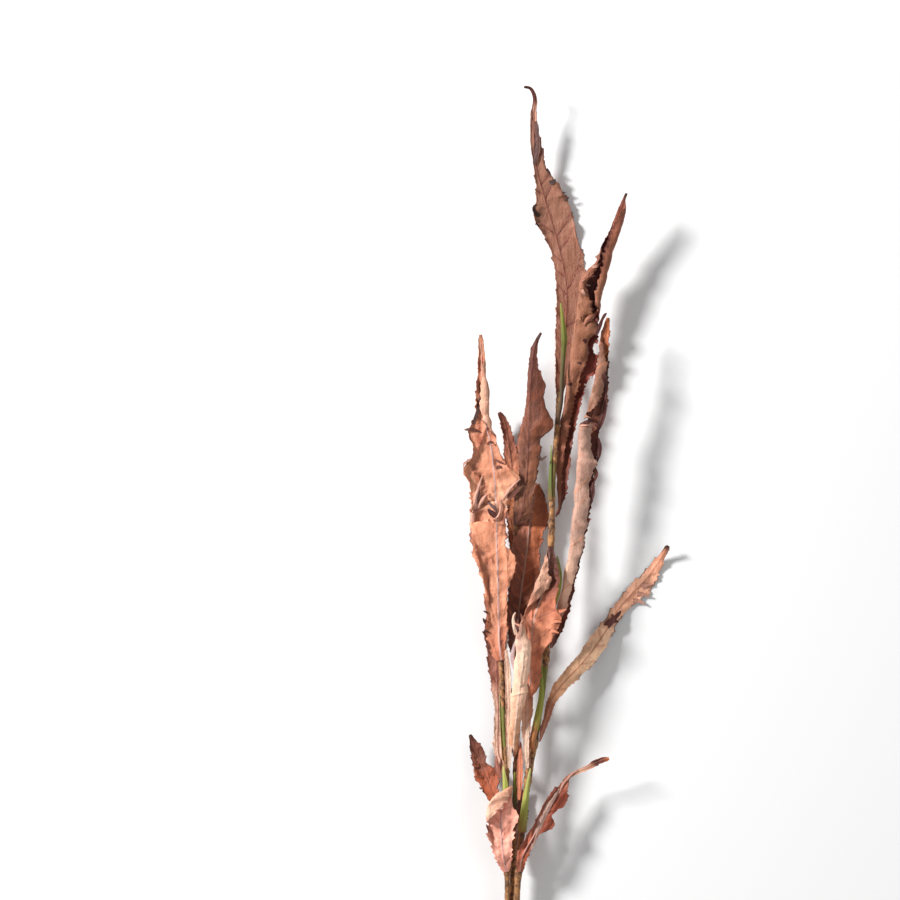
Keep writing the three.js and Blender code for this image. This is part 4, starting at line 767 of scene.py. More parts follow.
# Painted shade: a dark sheet in the opening of the left curl
scraps("left_broad", "left_curl_gape", UMBER_DARK, UMBER_DARK, 1.4, [
    (-36, 394, 33.7, 0.5), (-34.5, 400, 34.6, 1.3, 20), (-33.5, 406, 35.3, 1.5, 20, 1.3),
    (-32.5, 411, 35.8, 0.4)])
scraps("left_broad", "left_curl_end", HOLLOW_BROWN, TORN_PINK, 2.0, [
    (-42.2, 391, 32.8, 0.6, 20), (-39.5, 388.5, 33.7, 1.6, 70, 1.2), (-35.5, 388.5, 33.6, 1.5, 70, 1.2),
    (-32, 391.5, 33.1, 0.5, 20)])
# Its dark upper face is painted shade inside the curl
scraps("left_broad", "middle_curl", MAROON_DARK, TORN_PINK, 1.4, [
    (-24, 391, 31.8, 0.9, 30), (-21.5, 388, 32, 2.4, 50), (-18, 385.2, 32.1, 2.8, 50, 2.6),
    (-14.5, 383, 31.5, 0.7, 30)])
scraps("left_broad", "middle_curl_top", GREY_PURPLE, UMBER, 1.6, [
    (-24.5, 397.2, 32.3, 0.6), (-21.5, 395.5, 32.8, 1.5, -20, 1.2), (-18, 392.2, 33, 1.5, -30, 1.4),
    (-14.5, 387, 31.9, 0.5)])
scraps("left_broad", "middle_curl_edge", TORN_PINK, TORN_PINK, 1.6, [
    (-12, 400.5, 32.8, 0.5), (-11.4, 395, 32.9, 0.9, -40, 0.8), (-12, 388.5, 32.5, 1, -40, 0.9),
    (-14.5, 383, 31.9, 1, -40, 0.8), (-19.5, 380.5, 30.9, 0.4)])
scraps("left_broad", "left_lobe_edge", TORN_PINK, UMBER, 2.4, [
    (-50, 433, 40.5, 0.5), (-47.5, 436.5, 41.6, 1.1, 50, 1), (-44, 439, 41.2, 1.1, 50, 1.2),
    (-39.5, 442.5, 40.3, 0.4)])
scraps("left_broad", "right_flap_edge", TORN_PINK, UMBER, 1.4, [
    (-10, 400, 33.1, 0.6), (-4.5, 407.5, 35.9, 1.2, -40, 1), (1, 414.5, 37.4, 1.3, -40, 1),
    (8, 421, 37.1, 0.4)])
# Painted shade: a dark sheet in the opening under the right flap's edge
scraps("left_broad", "right_flap_gape", HOLLOW_BROWN, UMBER_DARK, 1.6, [
    (-8, 400, 31.5, 0.6), (-2, 404.5, 33.7, 2, 10, 3.4), (3.5, 410.5, 34.9, 1.6, 10, 3),
    (7, 416.5, 34.8, 0.6)])
# Painted shade: a dark sheet in the open mouth of the front tube
scraps("front_rolled", "front_mouth", MAROON_DARK, MAROON_DARK, 0.8, [
    (1.6, 286, 51.5, 1), (3.5, 280, 52.7, 2.4, 10, 2.2), (5.2, 273, 58.4, 1.8, 10, 1.6),
    (6, 266, 57.8, 0.5)])
scraps("front_rolled", "front_spike_a", TORN_PALE, RED_BROWN, 1.8, [
    (3.5, 266, 55.8, 1.6, -10, 1.8), (2, 273, 56.2, 1.8), (0.8, 279.5, 55.1, 1.4, 10, 1.6),
    (1.4, 285, 52.4, 0.9, 10, 0.8), (3.4, 288, 51.7, 0.4)])
scraps("front_rolled", "front_spike_b", TORN_PINK, RED_BROWN, 1.6, [
    (5.8, 262, 57.3, 1.6, -10, 2.2), (7, 269, 59, 1.5, 0, 2), (8.2, 275, 59.1, 1.2, 10, 1.5),
    (9.8, 280, 52.3, 0.4)])
scraps("front_rolled", "front_flap", LILAC, ROSE_BROWN, 1.6, [
    (4.5, 226, 51.9, 0.6), (2, 235, 51, 2, -20, 1.2), (0.8, 245, 51.7, 2.6, -20, 1.4),
    (2.5, 255, 52.9, 1.8, -20, 1.2), (5, 264, 54.9, 0.5)])
scraps("base_right", "neck_curl", TORN_PINK, RUST, 2.0, [
    (48, 110, 27, 0.6), (51.5, 117, 27.5, 1.2, 50), (56, 122, 28.9, 1.3, 50, 1.2),
    (61, 127, 30.3, 0.9, 50, 0.8), (66, 129.5, 31.2, 0.4)])
scraps("base_right", "grey_fold", LILAC_GREY, RED_BROWN, 1.8, [
    (19, 50, 33.8, 0.8), (23.5, 63, 32.9, 2.6, -10, 2), (28.5, 77, 31.3, 4.2, -20, 2.8),
    (34.5, 90, 29.3, 4.6, -20, 2.8), (41, 101.5, 27.7, 3, -20, 2.2), (47, 111, 26.8, 0.6)])
scraps("base_left", "rust_tooth", RUST_DEEP, UMBER, 0, [
    (-35.5, 143, 15.8, 1.5), (-39, 142.5, 16.7, 1, 10), (-41.5, 144.5, 16.8, 0.4)], [
    (-33, 134, 16.2, 1.9), (-37, 133, 17.3, 1.3, 10), (-40, 135, 16.9, 0.4)], [
    (-30, 123, 18.1, 1.9), (-34, 121.5, 19.2, 1.3, 10), (-36.5, 123, 19.4, 0.4)], [
    (-27, 113, 20.3, 1.7), (-30.5, 111, 21.3, 1.2, 10), (-32.5, 112, 21, 0.4)])
scraps("base_left", "rust_lobe", RUST_DEEP, UMBER, 1.0, [
    (-20, 124, 19.2, 2.6), (-17.2, 130, 19.8, 2, 10, 1.6), (-16.5, 134.5, 20, 0.4)])
# Painted shade: a dark sheet in the open end of the pale tube
scraps("right_rolled", "tube_gape", MAROON_DARK, MAROON_DARK, 0.8, [
    (67.5, 475.5, 48.6, 0.5), (71.5, 477, 52, 1.5, 10, 1.4), (76.5, 478.5, 51.9, 1.8, 10, 1.5),
    (80.5, 479, 42.2, 0.5)])
scraps("right_rolled", "tube_rim", TORN_PINK, RED_BROWN, 1.4, [
    (66.5, 474, 48.9, 0.5), (70, 474.6, 53.1, 0.9, 30, 1), (75, 474.8, 53.6, 0.9, 30, 1),
    (81, 476, 42, 0.5)])
# Partly the roll's ragged right margin, partly painted shade inside the roll
scraps("right_rolled", "ragged", MAROON_DARK, UMBER, 1.8, [
    (89, 528, 50.4, 1), (92, 521, 49.5, 2, 20, 2.2), (93.5, 513, 44.3, 1.6, 20, 1.8),
    (94, 507, 43.8, 0.5)], [
    (86, 462, 42.4, 0.8), (87.5, 454, 42.6, 2, 20, 2.4), (86.5, 445, 42.3, 2, 20, 2.2),
    (84.5, 438, 42, 0.6)])
scraps("right_rolled", "ragged_c", HOLLOW_BROWN, UMBER, 1.6, [
    (82, 434, 42.1, 0.8), (84, 426, 42.3, 1.8, 20, 2.2), (82.5, 419, 42.3, 0.5)])


def sheath_plan(name, stem_name, low, high, around, wrap, lean):
    """A narrow green blade whose foot wraps a stem, and whose point leaves it"""
    stem = STEMS[stem_name]
    stem_top = stem["path"][-1][1]
    stations = []
    angle = math.radians(around)
    for k in range(SHEATH_STATIONS + 1):
        share = k / SHEATH_STATIONS
        up = low + (high - low) * share
        x, _, z = stem_place(stem, min(up, stem_top))
        reach = float(stem_radius(stem, up)) + SHEATH_GAP + SHEATH_THICKNESS / 2
        away = reach + lean * share**3
        opened = wrap * (1 - share) ** SHEATH_OPENING
        least = SHEATH_HALF_AT_FOOT + (SHEATH_HALF_AT_TIP - SHEATH_HALF_AT_FOOT) * share
        width = max(reach * math.sin(math.radians(min(opened, 90))), least)
        curl = opened if abs(around) > 90 else -opened
        stations.append((x + math.sin(angle) * away, up, z + math.cos(angle) * away, width, width, curl, curl,
                         turn_against(around), 0, 0))
    return {"name": name, "stations": stations, "seed": int(low)}


# The greens' colours from a sheath's foot to its point
GREEN_BANDS = {
    "fresh": [(0, (84, 54, 28)), (0.25, (70, 46, 20)), (0.45, (76, 64, 16)), (0.65, (88, 86, 10)),
              (0.85, (106, 112, 16)), (1, (136, 138, 50))],
    "yellow": [(0, (186, 112, 66)), (0.16, (196, 126, 72)), (0.3, (172, 156, 66)), (0.55, (150, 154, 60)),
               (0.8, (122, 126, 48)), (1, (150, 150, 84))],
    "base": [(0, (150, 120, 52)), (0.3, (150, 152, 62)), (0.6, (172, 176, 84)), (1, (196, 188, 116))],
    "left": [(0, (196, 120, 72)), (0.22, (190, 120, 72)), (0.36, (150, 142, 58)), (0.6, (112, 122, 44)),
             (1, (132, 140, 62))],
    "deep": [(0, (120, 84, 44)), (0.25, (86, 96, 30)), (0.8, (100, 116, 40)), (1, (130, 136, 64))],
}
# Sheaths that follow their stem: name, stem, lowest and highest point, the degrees round the stem at
# which they lie, how far round it their foot wraps, how far their point leans out, and their green
SHEATHS = [
    ("sheath_upper", "right", 400, 455, -55, 42, 1, "deep"),
    ("sheath_left", "left", 140, 238, 172, 138, 2, "left"),
    ("sheath_base_left", "left", 94, 134, -25, 88, 2, "base"),
    ("sheath_base_middle", "middle", 74, 128, -10, 60, 2, "fresh"),
    ("sheath_base_right", "right", 68, 132, 5, 72, 2, "base"),
]


def linear(colour):
    """A colour as it looks, as the light values that a shader takes"""
    parts = [v / 255 for v in colour[:3]]
    return tuple(v / 12.92 if v <= 0.04045 else ((v + 0.055) / 1.055) ** 2.4 for v in parts) + (1.0,)


def large_teeth(plan, u):
    """How far the solids' own teeth stand out at u, for the two halves"""
    stations = plan["stations"]
    last = len(stations) - 1
    rows = last * plan["rows_each"]
    draw = seeded(plan["seed"])
    phases = [draw() * TAU, draw() * TAU]
    heights = np.array([[TOOTH_LEAST + draw() * (TOOTH_MOST - TOOTH_LEAST) for _ in range(2)]
                        for _ in range(rows + 1)])
    row_u = np.linspace(0, last, rows + 1)
    spot = places(stations, row_u)
    steps = np.linalg.norm(np.diff(spot, axis=0), axis=1)
    steps = np.concatenate([steps[:1], steps])
    opened = np.clip((steps - CALM_STEP) / (FULL_STEP - CALM_STEP), 0, 1)
    x = u / last * rows
    teeth = []
    for half in (0, 1):
        plain = np.maximum(smooth(stations, REACH + half, row_u), HALF_LEAST)
        high = heights[:, half] * opened * np.minimum(plan["teeth"], plain * TOOTH_SHARE_OF_HALF)
        at_x, at_h = [0.0], [0.0]
        for k in range(1, rows, 2):
            at_x += [k + ahead for ahead, _ in TOOTH_OUTLINE]
            at_h += [high[k] * share for _, share in TOOTH_OUTLINE]
        teeth.append(np.interp(x, at_x, at_h))
    return teeth, phases, np.interp(x, np.arange(rows + 1), opened)


def fine_teeth(along, height, rng):
    """Small saw teeth that lean to the tip"""
    at_x, at_h = [0.0], [0.0]
    x = 1.0
    while x < along[-1]:
        gap = rng.uniform(FINE_TOOTH_LEAST_GAP, FINE_TOOTH_MOST_GAP)
        top = height * rng.uniform(*FINE_TOOTH_SHARES)
        at_x += [x + gap * ahead for ahead, _ in FINE_TOOTH_OUTLINE]
        at_h += [top * share for _, share in FINE_TOOTH_OUTLINE]
        x += gap
    return np.interp(along, at_x, at_h)


def half_section(reach, curl, over, tooth, bent, shares, plan):
    """Half of each row's section: how far out and how high its points are, how they slope, and its length"""
    radius = np.minimum(plan["roll"], reach * FOLD_SHARE_OF_HALF)
    folded = np.minimum(over / radius, 1)
    flat = reach - radius * folded
    bend = math.pi * radius * folded
    flap = np.maximum(over - radius, 0)
    length = flat + bend + flap
    whole = length + tooth
    fine = np.linspace(0, 1, SECTION_STEPS + 1)
    middle = (fine[1:] + fine[:-1]) / 2
    flat, bend, folded, curl, flap = (v[:, None] for v in (flat, bend, folded, curl, flap))

    def slope_at(share):
        distance = share * whole[:, None]
        turned = np.clip((distance - flat) / np.maximum(bend, 1e-6), 0, 1) * (bend > 0)
        curled = curl * np.minimum(distance / flat, 1) ** plan["power"] + (math.pi - curl) * folded * turned
        on_flap = np.minimum(np.maximum(distance - flat - bend, 0), flap)
        return curled + math.radians(plan["round"]) * on_flap + bent(share)

    slope = slope_at(middle[None])
    step = whole[:, None] / SECTION_STEPS
    none = np.zeros((len(reach), 1))
    out = np.concatenate([none, np.cumsum(np.cos(slope) * step, axis=1)], axis=1)
    high = np.concatenate([none, np.cumsum(np.sin(slope) * step, axis=1)], axis=1)
    inside = fine[None] * whole[:, None] <= length[:, None] + step / 2
    scale = reach / np.max(np.where(inside, out, 0), axis=1)
    i = np.minimum((shares * SECTION_STEPS).astype(int), SECTION_STEPS - 1)
    f = shares * SECTION_STEPS - i
    out = (out[:, i] * (1 - f) + out[:, i + 1] * f) * scale[:, None]
    high = (high[:, i] * (1 - f) + high[:, i + 1] * f) * scale[:, None]
    return out, high, slope_at(shares[None]), whole * scale


def side_veins(across, along, plan, rng):
    """Millimetres from each point of a sheet to the nearest side vein"""
    nearest = np.full(across.shape, FAR_FROM_VEIN)
    gap = plan["vein_gap"]
    for side in (-1, 1):
        here = across * side > 0
        out = np.abs(across)
        widest = float(np.max(np.where(here, out, 0)))
        start = rng.uniform(*VEIN_STARTS) * gap
        while start < along.max():
            lean = rng.uniform(*VEIN_LEANS)
            bow = rng.uniform(*VEIN_BOWS) / max(widest, 4)
            reach = rng.uniform(*VEIN_REACHES) * widest
            wander = 0.5 * np.sin(out / rng.uniform(*VEIN_WANDERS) + start)
            off = np.abs(along - start - out * lean - bow * out**2 - wander) / math.sqrt(1 + lean**2)
            off = off + np.maximum(out - reach, 0)
            nearest = np.where(here, np.minimum(nearest, off), nearest)
            start += gap * rng.uniform(*VEIN_GAPS)
    return nearest


def crumple(across, along, rng):
    """Folds and dents of a dried blade, about -1 to 1: crisp creases, softer dents and fine puckers"""
    creases = 1 - 2 * np.abs(noise_sheet(across, along, *CREASE_GRAIN, rng))
    slant = across - np.abs(across) + along * 0.6
    slanted = 1 - 2 * np.abs(noise_sheet(slant, along, *SLANT_GRAIN, rng))
    dents = noise_sheet(across, along, *DENT_GRAIN, rng)
    puckers = noise_sheet(across, along, *PUCKER_GRAIN, rng)
    return creases * CREASE_DEPTH + slanted * CREASE_DEPTH + dents * DENT_DEPTH + puckers * PUCKER_DEPTH


def near_line(spot, line):
    """Millimetres, seen from above, from each point of a sheet to a short line"""
    x0, up0, x1, up1 = line
    long = max(math.hypot(x1 - x0, up1 - up0), 0.1)
    way = np.array([x1 - x0, up1 - up0]) / long
    off = spot[..., :2] - np.array([x0, up0])
    ahead = np.clip(off @ way, 0, long)
    return np.linalg.norm(off - ahead[..., None] * way, axis=-1)


def creased(plan, spot, side_at):
    """How far each point of a sheet stands out of it in the leaf's own folds"""
    out = np.zeros(side_at.shape)
    for x0, up0, x1, up1, wide, high, side in plan["creases"]:
        near = np.exp(-((near_line(spot, (x0, up0, x1, up1)) / wide) ** 2))
        out += high * near * (side_at * side >= 0)
    return out


def mark_strength_at(marks, spot, side_at, rough):
    """0 to 1 where a sheet's marks are; each has a place, two half widths, a lean, a strength and a side"""
    out = np.zeros(side_at.shape)
    for x, up, wide, high, lean, strength, side in marks:
        away, ahead = spot[..., 0] - x, spot[..., 1] - up
        turned = math.radians(lean)
        over = (away * math.cos(turned) - ahead * math.sin(turned)) / wide
        along = (away * math.sin(turned) + ahead * math.cos(turned)) / high
        near = ramp(np.hypot(over, along) + rough, *MARK_FADE)
        out = np.maximum(out, strength * near * (side_at * side >= 0))
    return out


def cut_away(plan, spot, across, share, rng):
    """Which points of a sheet its holes and tears take away"""
    gone = np.zeros(across.shape, bool)
    rough = 1 + CUT_ROUGHNESS * noise_sheet(spot[..., 0], spot[..., 1], CUT_GRAIN, CUT_GRAIN, rng)
    for x, up, wide, high, side, low, top in plan["cuts"]:
        near = ((spot[..., 0] - x) / wide) ** 2 + ((spot[..., 1] - up) / high) ** 2 < rough
        gone |= near & (across * side >= 0) & (share >= low) & (share <= top)
    return gone


def waves_along(along, waves, rng):
    return sum(noise_line(along, step, rng) * strength for step, strength in waves)


def blade_sheet(plan):
    """The points of a blade's middle sheet, row by row, and what the finishes need to know of each"""
    stations = plan["stations"]
    last = len(stations) - 1
    rng = np.random.default_rng(plan["seed"])
    u, along = even_rows(stations, ROW_PITCH)
    points, tangents, sides, faces = frames_along(stations, u)
    turn = np.radians(smooth(stations, TURN, u))[:, None]
    across_way = sides * np.cos(turn) - faces * np.sin(turn)
    out_way = faces * np.cos(turn) + sides * np.sin(turn)
    teeth, phases, opened = large_teeth(plan, u)
    t = np.linspace(0, 1, plan["columns"] + 1)
    shares = t - EDGE_CROWDING * np.sin(TAU * t) / TAU
    angle = u / last * plan["waves"] * TAU
    slanted = plan["slant"] * ramp(u, last - SLANT_STATIONS, last)
    burnt = (waves_along(along, BURN_WAVES, rng) - BURN_LESS) * plan["burn"]
    halves = []
    for half, sign in ((0, -1), (1, 1)):
        reach = np.maximum(smooth(stations, REACH + half, u), HALF_LEAST)
        slim = np.minimum(reach / SLIM_HALF, 1)
        tooth = teeth[half] + fine_teeth(along, plan["fine_teeth"], rng) * slim * opened
        wave = plan["ruffle"] * np.sin(angle + phases[half])
        wave = wave * np.minimum(reach / FULL_RUFFLE_HALF, 1) * opened
        tightest = np.maximum(reach + teeth[half] - CURL_MARGIN, 0) / LEAF_THICKNESS
        curl = np.clip(np.radians(smooth(stations, CURL + half, u) + wave), -tightest, tightest)
        over = np.maximum(smooth(stations, OVER + half, u), 0)
        waved = np.radians(plan["flutter"]) * noise_line(along, FLUTTER_WAVE, rng)
        flutter = (waved * slim * opened)[:, None]
        lip = (np.radians(plan["lip"]) * waves_along(along, LIP_WAVES, rng) * slim)[:, None]

        def bent(share, flutter=flutter, lip=lip):
            return flutter * ramp(share, *FLUTTER_SHARES) + lip * ramp(share, *LIP_SHARES)

        out, high, slope, whole = half_section(reach, curl, over, tooth, bent, shares, plan)
        spot = points[:, None] + across_way[:, None] * (sign * out)[..., None]
        spot = spot + out_way[:, None] * high[..., None]
        ahead = shares[None] ** 2 * (slanted + teeth[half] * TOOTH_LEAN * 0.6)[:, None]
        spot = spot + tangents[:, None] * ahead[..., None]
        normal = out_way[:, None] * np.cos(slope)[..., None]
        normal = normal - across_way[:, None] * (sign * np.sin(slope))[..., None]
        across = sign * shares * whole[:, None]
        edge = (1 - shares) * whole[:, None]
        burn = (burnt * np.minimum(reach / BURN_HALF, 1) + teeth[half] * 0.7)[:, None] - edge
        share = np.broadcast_to(shares[None], edge.shape)
        halves.append((spot, normal, across, edge, burn, share))
    spot, normal, across, edge, burn, share = (
        np.concatenate([left[:, :0:-1], right], axis=1) for left, right in zip(*halves))
    up_leaf = np.broadcast_to(along[:, None], across.shape)
    wide = np.minimum(np.abs(across[:, :1]) / CRUMPLE_HALF, 1)
    veins = side_veins(across, up_leaf, plan, rng)
    relief = -plan["relief"] * ramp(veins, VEIN_FAR, VEIN_NEAR) * ramp(edge, 0, CALM_EDGE)
    dents = crumple(across, up_leaf, rng) * plan["wrinkle"] * (0.25 + 0.75 * wide)
    dents = dents * ramp(up_leaf, 0, CALM_FOOT)
    rib = RIB_HEIGHT * np.exp(-((across / RIB_HALF) ** 2)) * np.minimum(up_leaf / CALM_FOOT, 1)
    rough = noise_sheet(across, up_leaf, MARK_GRAIN, MARK_GRAIN, rng) * MARK_ROUGHNESS
    dents = dents + creased(plan, spot, across)
    # The crumples' heights are also kept for the finish, which paints shade and light over them
    values = {"tip": up_leaf / along[-1], "vein": veins, "burn": burn, "dent": dents}
    values["stain"] = mark_strength_at(plan["stains"], spot, across, rough)
    values["hole"] = mark_strength_at(plan["holes"], spot, across, rough)
    spot = spot + normal * (relief * wide + dents + rib)[..., None]
    place = np.stack([across, up_leaf, edge], axis=-1)
    return spot, place, values, cut_away(plan, spot, across, share, rng)


def in_part(points, margin=0.0):
    """Millimetres of the spray as metres of the part, kept a margin inside the solids' own box"""
    low, high = SOLIDS_BOX
    points = (points - np.array([MIDDLE_ACROSS, MIDDLE_UP, 0])) * MM
    return np.clip(points, low + margin * MM, high - margin * MM)


def add_grid(name, columns, rows):
    """A flat grid whose points are then placed one by one; gives each point's column and row"""
    bpy.ops.object.select_all(action="DESELECT")
    bpy.ops.mesh.primitive_grid_add(x_subdivisions=columns, y_subdivisions=rows, size=1)
    piece = bpy.context.object
    piece.name = piece.data.name = name
    flat = np.empty(len(piece.data.vertices) * 3)
    piece.data.vertices.foreach_get("co", flat)
    flat = flat.reshape(-1, 3)
    column = np.rint((flat[:, 0] + 0.5) * columns).astype(int)
    row = np.rint((flat[:, 1] + 0.5) * rows).astype(int)
    return piece, column, row


def write_points(piece, points):
    piece.data.vertices.foreach_set("co", np.ascontiguousarray(points, dtype=np.float32).ravel())
    piece.data.update()


def write_attribute(piece, name, kind, values):
    made = piece.data.attributes.new(name, kind, "POINT")
    field = "vector" if kind == "FLOAT_VECTOR" else "value"
    made.data.foreach_set(field, np.ascontiguousarray(values, dtype=np.float32).ravel())


def take_away(piece, gone):
    """Deletes the marked points of a sheet, and what hangs on to the rest by a corner alone"""
    bpy.ops.object.mode_set(mode="EDIT")
    bpy.ops.mesh.select_mode(type="VERT")
    bpy.ops.mesh.select_all(action="DESELECT")
    bpy.ops.object.mode_set(mode="OBJECT")
    piece.data.vertices.foreach_set("select", gone)
    bpy.ops.object.mode_set(mode="EDIT")
    bpy.ops.mesh.delete(type="VERT")
    bpy.ops.mesh.select_all(action="SELECT")
    bpy.ops.mesh.delete_loose(use_verts=True, use_edges=True, use_faces=False)
    bpy.ops.object.mode_set(mode="OBJECT")


def give_thickness(piece, thickness):
    """Both faces and the rim of a thin sheet; returns how many points the upper face has"""
    upper = len(piece.data.vertices)
    wall = piece.modifiers.new("wall", "SOLIDIFY")
    wall.thickness = thickness * MM
    wall.offset = 0
    wall.use_even_offset = False
    bpy.ops.object.modifier_apply(modifier=wall.name)
    if len(piece.data.vertices) != upper * 2:
        raise RuntimeError(f"{piece.name}: its two faces don't match")
    return upper


def make_blade(plan):
    """A leaf, a sheath or a scrap: a grid laid out as the blade, given its thickness and smoothed"""
    spot, place, values, gone = blade_sheet(plan)
    rows, columns = gone.shape
    piece, column, row = add_grid(plan["name"], columns - 1, rows - 1)
    write_points(piece, in_part(spot[row, column], plan["thickness"] * KEPT_INSIDE))
    write_attribute(piece, "place", "FLOAT_VECTOR", place[row, column])
    for name, value in values.items():
        write_attribute(piece, name, "FLOAT", value[row, column])
    if gone.any():
        take_away(piece, gone[row, column])
    count = give_thickness(piece, plan["thickness"])
    write_attribute(piece, "side", "FLOAT", np.repeat([1.0, 0.0], count))
    bpy.ops.object.shade_smooth_by_angle(angle=SMOOTH_ANGLE)
    return piece


def make_tube(name, path, radius_at, seed, lumps_at):
    """A taped stem: a grid wrapped round its path, its seam merged and its ends filled"""
    rng = np.random.default_rng(seed)
    u, along = even_rows(path, ROW_PITCH)
    points, _, sides, faces = frames_along(path, u)
    piece, column, row = add_grid(name, TUBE_SIDES, len(u) - 1)
    turn = np.arange(TUBE_SIDES + 1) / TUBE_SIDES
    around = turn * TAU
    tape = (turn[None] - along[:, None] / TAPE_PITCH) % 1.0
    up = points[:, 1]
    spots = (turn, along[:, None], up[:, None])
    turns, alongs, ups = (np.broadcast_to(values, tape.shape) for values in spots)
    lumps = noise_sheet(turns * TAPE_CREASES_ROUND, alongs, *TAPE_GRAIN, rng)
    lumps[:, -1] = lumps[:, 0]
    near_seam = ramp(turn, SEAM_FROM, 1.0)
    lumps = lumps * (1 - near_seam) + lumps[:, :1] * near_seam
    radius = radius_at(up)[:, None] + TAPE_LAP * (1 - tape) + lumps * lumps_at(up)[:, None] - TAPE_BELOW
    ring = sides[:, None] * np.cos(around)[None, :, None] + faces[:, None] * np.sin(around)[None, :, None]
    spot = points[:, None] + ring * radius[..., None]
    write_points(piece, in_part(spot[row, column]))
    write_attribute(piece, "place", "FLOAT_VECTOR", np.stack([turns, alongs, ups], axis=-1)[row, column])
    bpy.ops.object.mode_set(mode="EDIT")
    bpy.ops.mesh.select_all(action="SELECT")
    bpy.ops.mesh.remove_doubles(threshold=0.00001)
    bpy.ops.mesh.select_all(action="DESELECT")
    bpy.ops.mesh.select_non_manifold()
    bpy.ops.mesh.fill_holes(sides=0)
    bpy.ops.mesh.select_all(action="SELECT")
    bpy.ops.mesh.normals_make_consistent(inside=False)
    bpy.ops.object.mode_set(mode="OBJECT")
    bpy.ops.object.shade_smooth_by_angle(angle=SMOOTH_ANGLE)
    return piece


class Shade:
    """A socket's value in a material, with which sums are written as in Python"""

    def __init__(self, paint, socket):
        self.paint, self.socket = paint, socket

    def _sum(self, operation, *values):
        return self.paint.node("ShaderNodeMath", {"operation": operation}, dict(enumerate(values)))

    def __add__(self, other):
        return self._sum("ADD", self, other)

    def __sub__(self, other):
        return self._sum("SUBTRACT", self, other)

    def __rsub__(self, other):
        return self._sum("SUBTRACT", other, self)

    def __mul__(self, other):
        return self._sum("MULTIPLY", self, other)

    def __truediv__(self, other):
        return self._sum("DIVIDE", self, other)

    __radd__ = __add__
    __rmul__ = __mul__

    def size(self):
        return self._sum("ABSOLUTE", self)

    def to_nearest_whole(self):
        """How far the value is from the nearest whole number, 0 to 0.5"""
        return self._sum("PINGPONG", self, 0.5)

    def between(self, low, high):
        """0 up to low, 1 from high, and smooth between; low may be above high"""
        first = 1.0 if low > high else 0.0
        ends = {"From Min": min(low, high), "From Max": max(low, high), "Value": self, "To Min": first,
                "To Max": 1.0 - first}
        return self.paint.node("ShaderNodeMapRange", {"interpolation_type": "SMOOTHSTEP"}, ends)


class Paint:
    """A material under construction"""

    def __init__(self, name):
        self.material = bpy.data.materials.new(name)
        self.material.use_nodes = True
        self.tree = self.material.node_tree
        self.shader = self.tree.nodes["Principled BSDF"]

    def node(self, kind, settings, inputs, output=0):
        made = self.tree.nodes.new(kind)
        for key, value in settings.items():
            if key == "stops":
                ramp_stops(made.color_ramp, value)
            else:
                setattr(made, key, value)
        for key, value in inputs.items():
            self.join(made.inputs[key], value)
        return Shade(self, made.outputs[output])

    def join(self, socket, value):
        if isinstance(value, Shade):
            self.tree.links.new(value.socket, socket)
        else:
            socket.default_value = value

    def attribute(self, name, output="Fac"):
        return self.node("ShaderNodeAttribute", {"attribute_name": name}, {}, output)

    def place(self):
        """The three numbers that the maker kept for each point"""
        whole = self.attribute("place", "Vector")
        parts = self.tree.nodes.new("ShaderNodeSeparateXYZ")
        self.join(parts.inputs[0], whole)
        return [Shade(self, socket) for socket in parts.outputs]

    def noise(self, scale, detail=3.0, rough=0.55, stretch=(1, 1, 1)):
        spot = self.node("ShaderNodeTexCoord", {}, {}, "Object")
        if stretch != (1, 1, 1):
            spot = self.node("ShaderNodeMapping", {}, {"Vector": spot, "Scale": stretch})
        inputs = {"Vector": spot, "Scale": scale, "Detail": detail, "Roughness": rough}
        return self.node("ShaderNodeTexNoise", {}, inputs, "Fac")

    def mix(self, first, second, factor):
        inputs = {0: factor, 6: first, 7: second}
        return self.node("ShaderNodeMix", {"data_type": "RGBA"}, inputs, 2)

    def shade_by(self, colour, value):
        """A colour made darker or lighter by a value about 1"""
        grey = self.node("ShaderNodeCombineXYZ", {}, {0: value, 1: value, 2: value})
        return self.node("ShaderNodeVectorMath", {"operation": "MULTIPLY"}, {0: colour, 1: grey})

    def bands(self, factor, stops):
        return self.node("ShaderNodeValToRGB", {"stops": stops}, {0: factor})

    def bump(self, height, distance, strength=1.0, normal=None):
        inputs = {"Height": height, "Distance": distance, "Strength": strength}
        if normal is not None:
            inputs["Normal"] = normal
        return self.node("ShaderNodeBump", {}, inputs)

    def finish(self, **inputs):
        for name, value in inputs.items():
            self.join(self.shader.inputs[name.replace("_", " ")], value)
        return self.material


def ramp_stops(color_ramp, stops):
    while len(color_ramp.elements) > 1:
        color_ramp.elements.remove(color_ramp.elements[-1])
    color_ramp.elements[0].position = stops[0][0]
    color_ramp.elements[0].color = linear(stops[0][1])
    for position, colour in stops[1:]:
        color_ramp.elements.new(position).color = linear(colour)


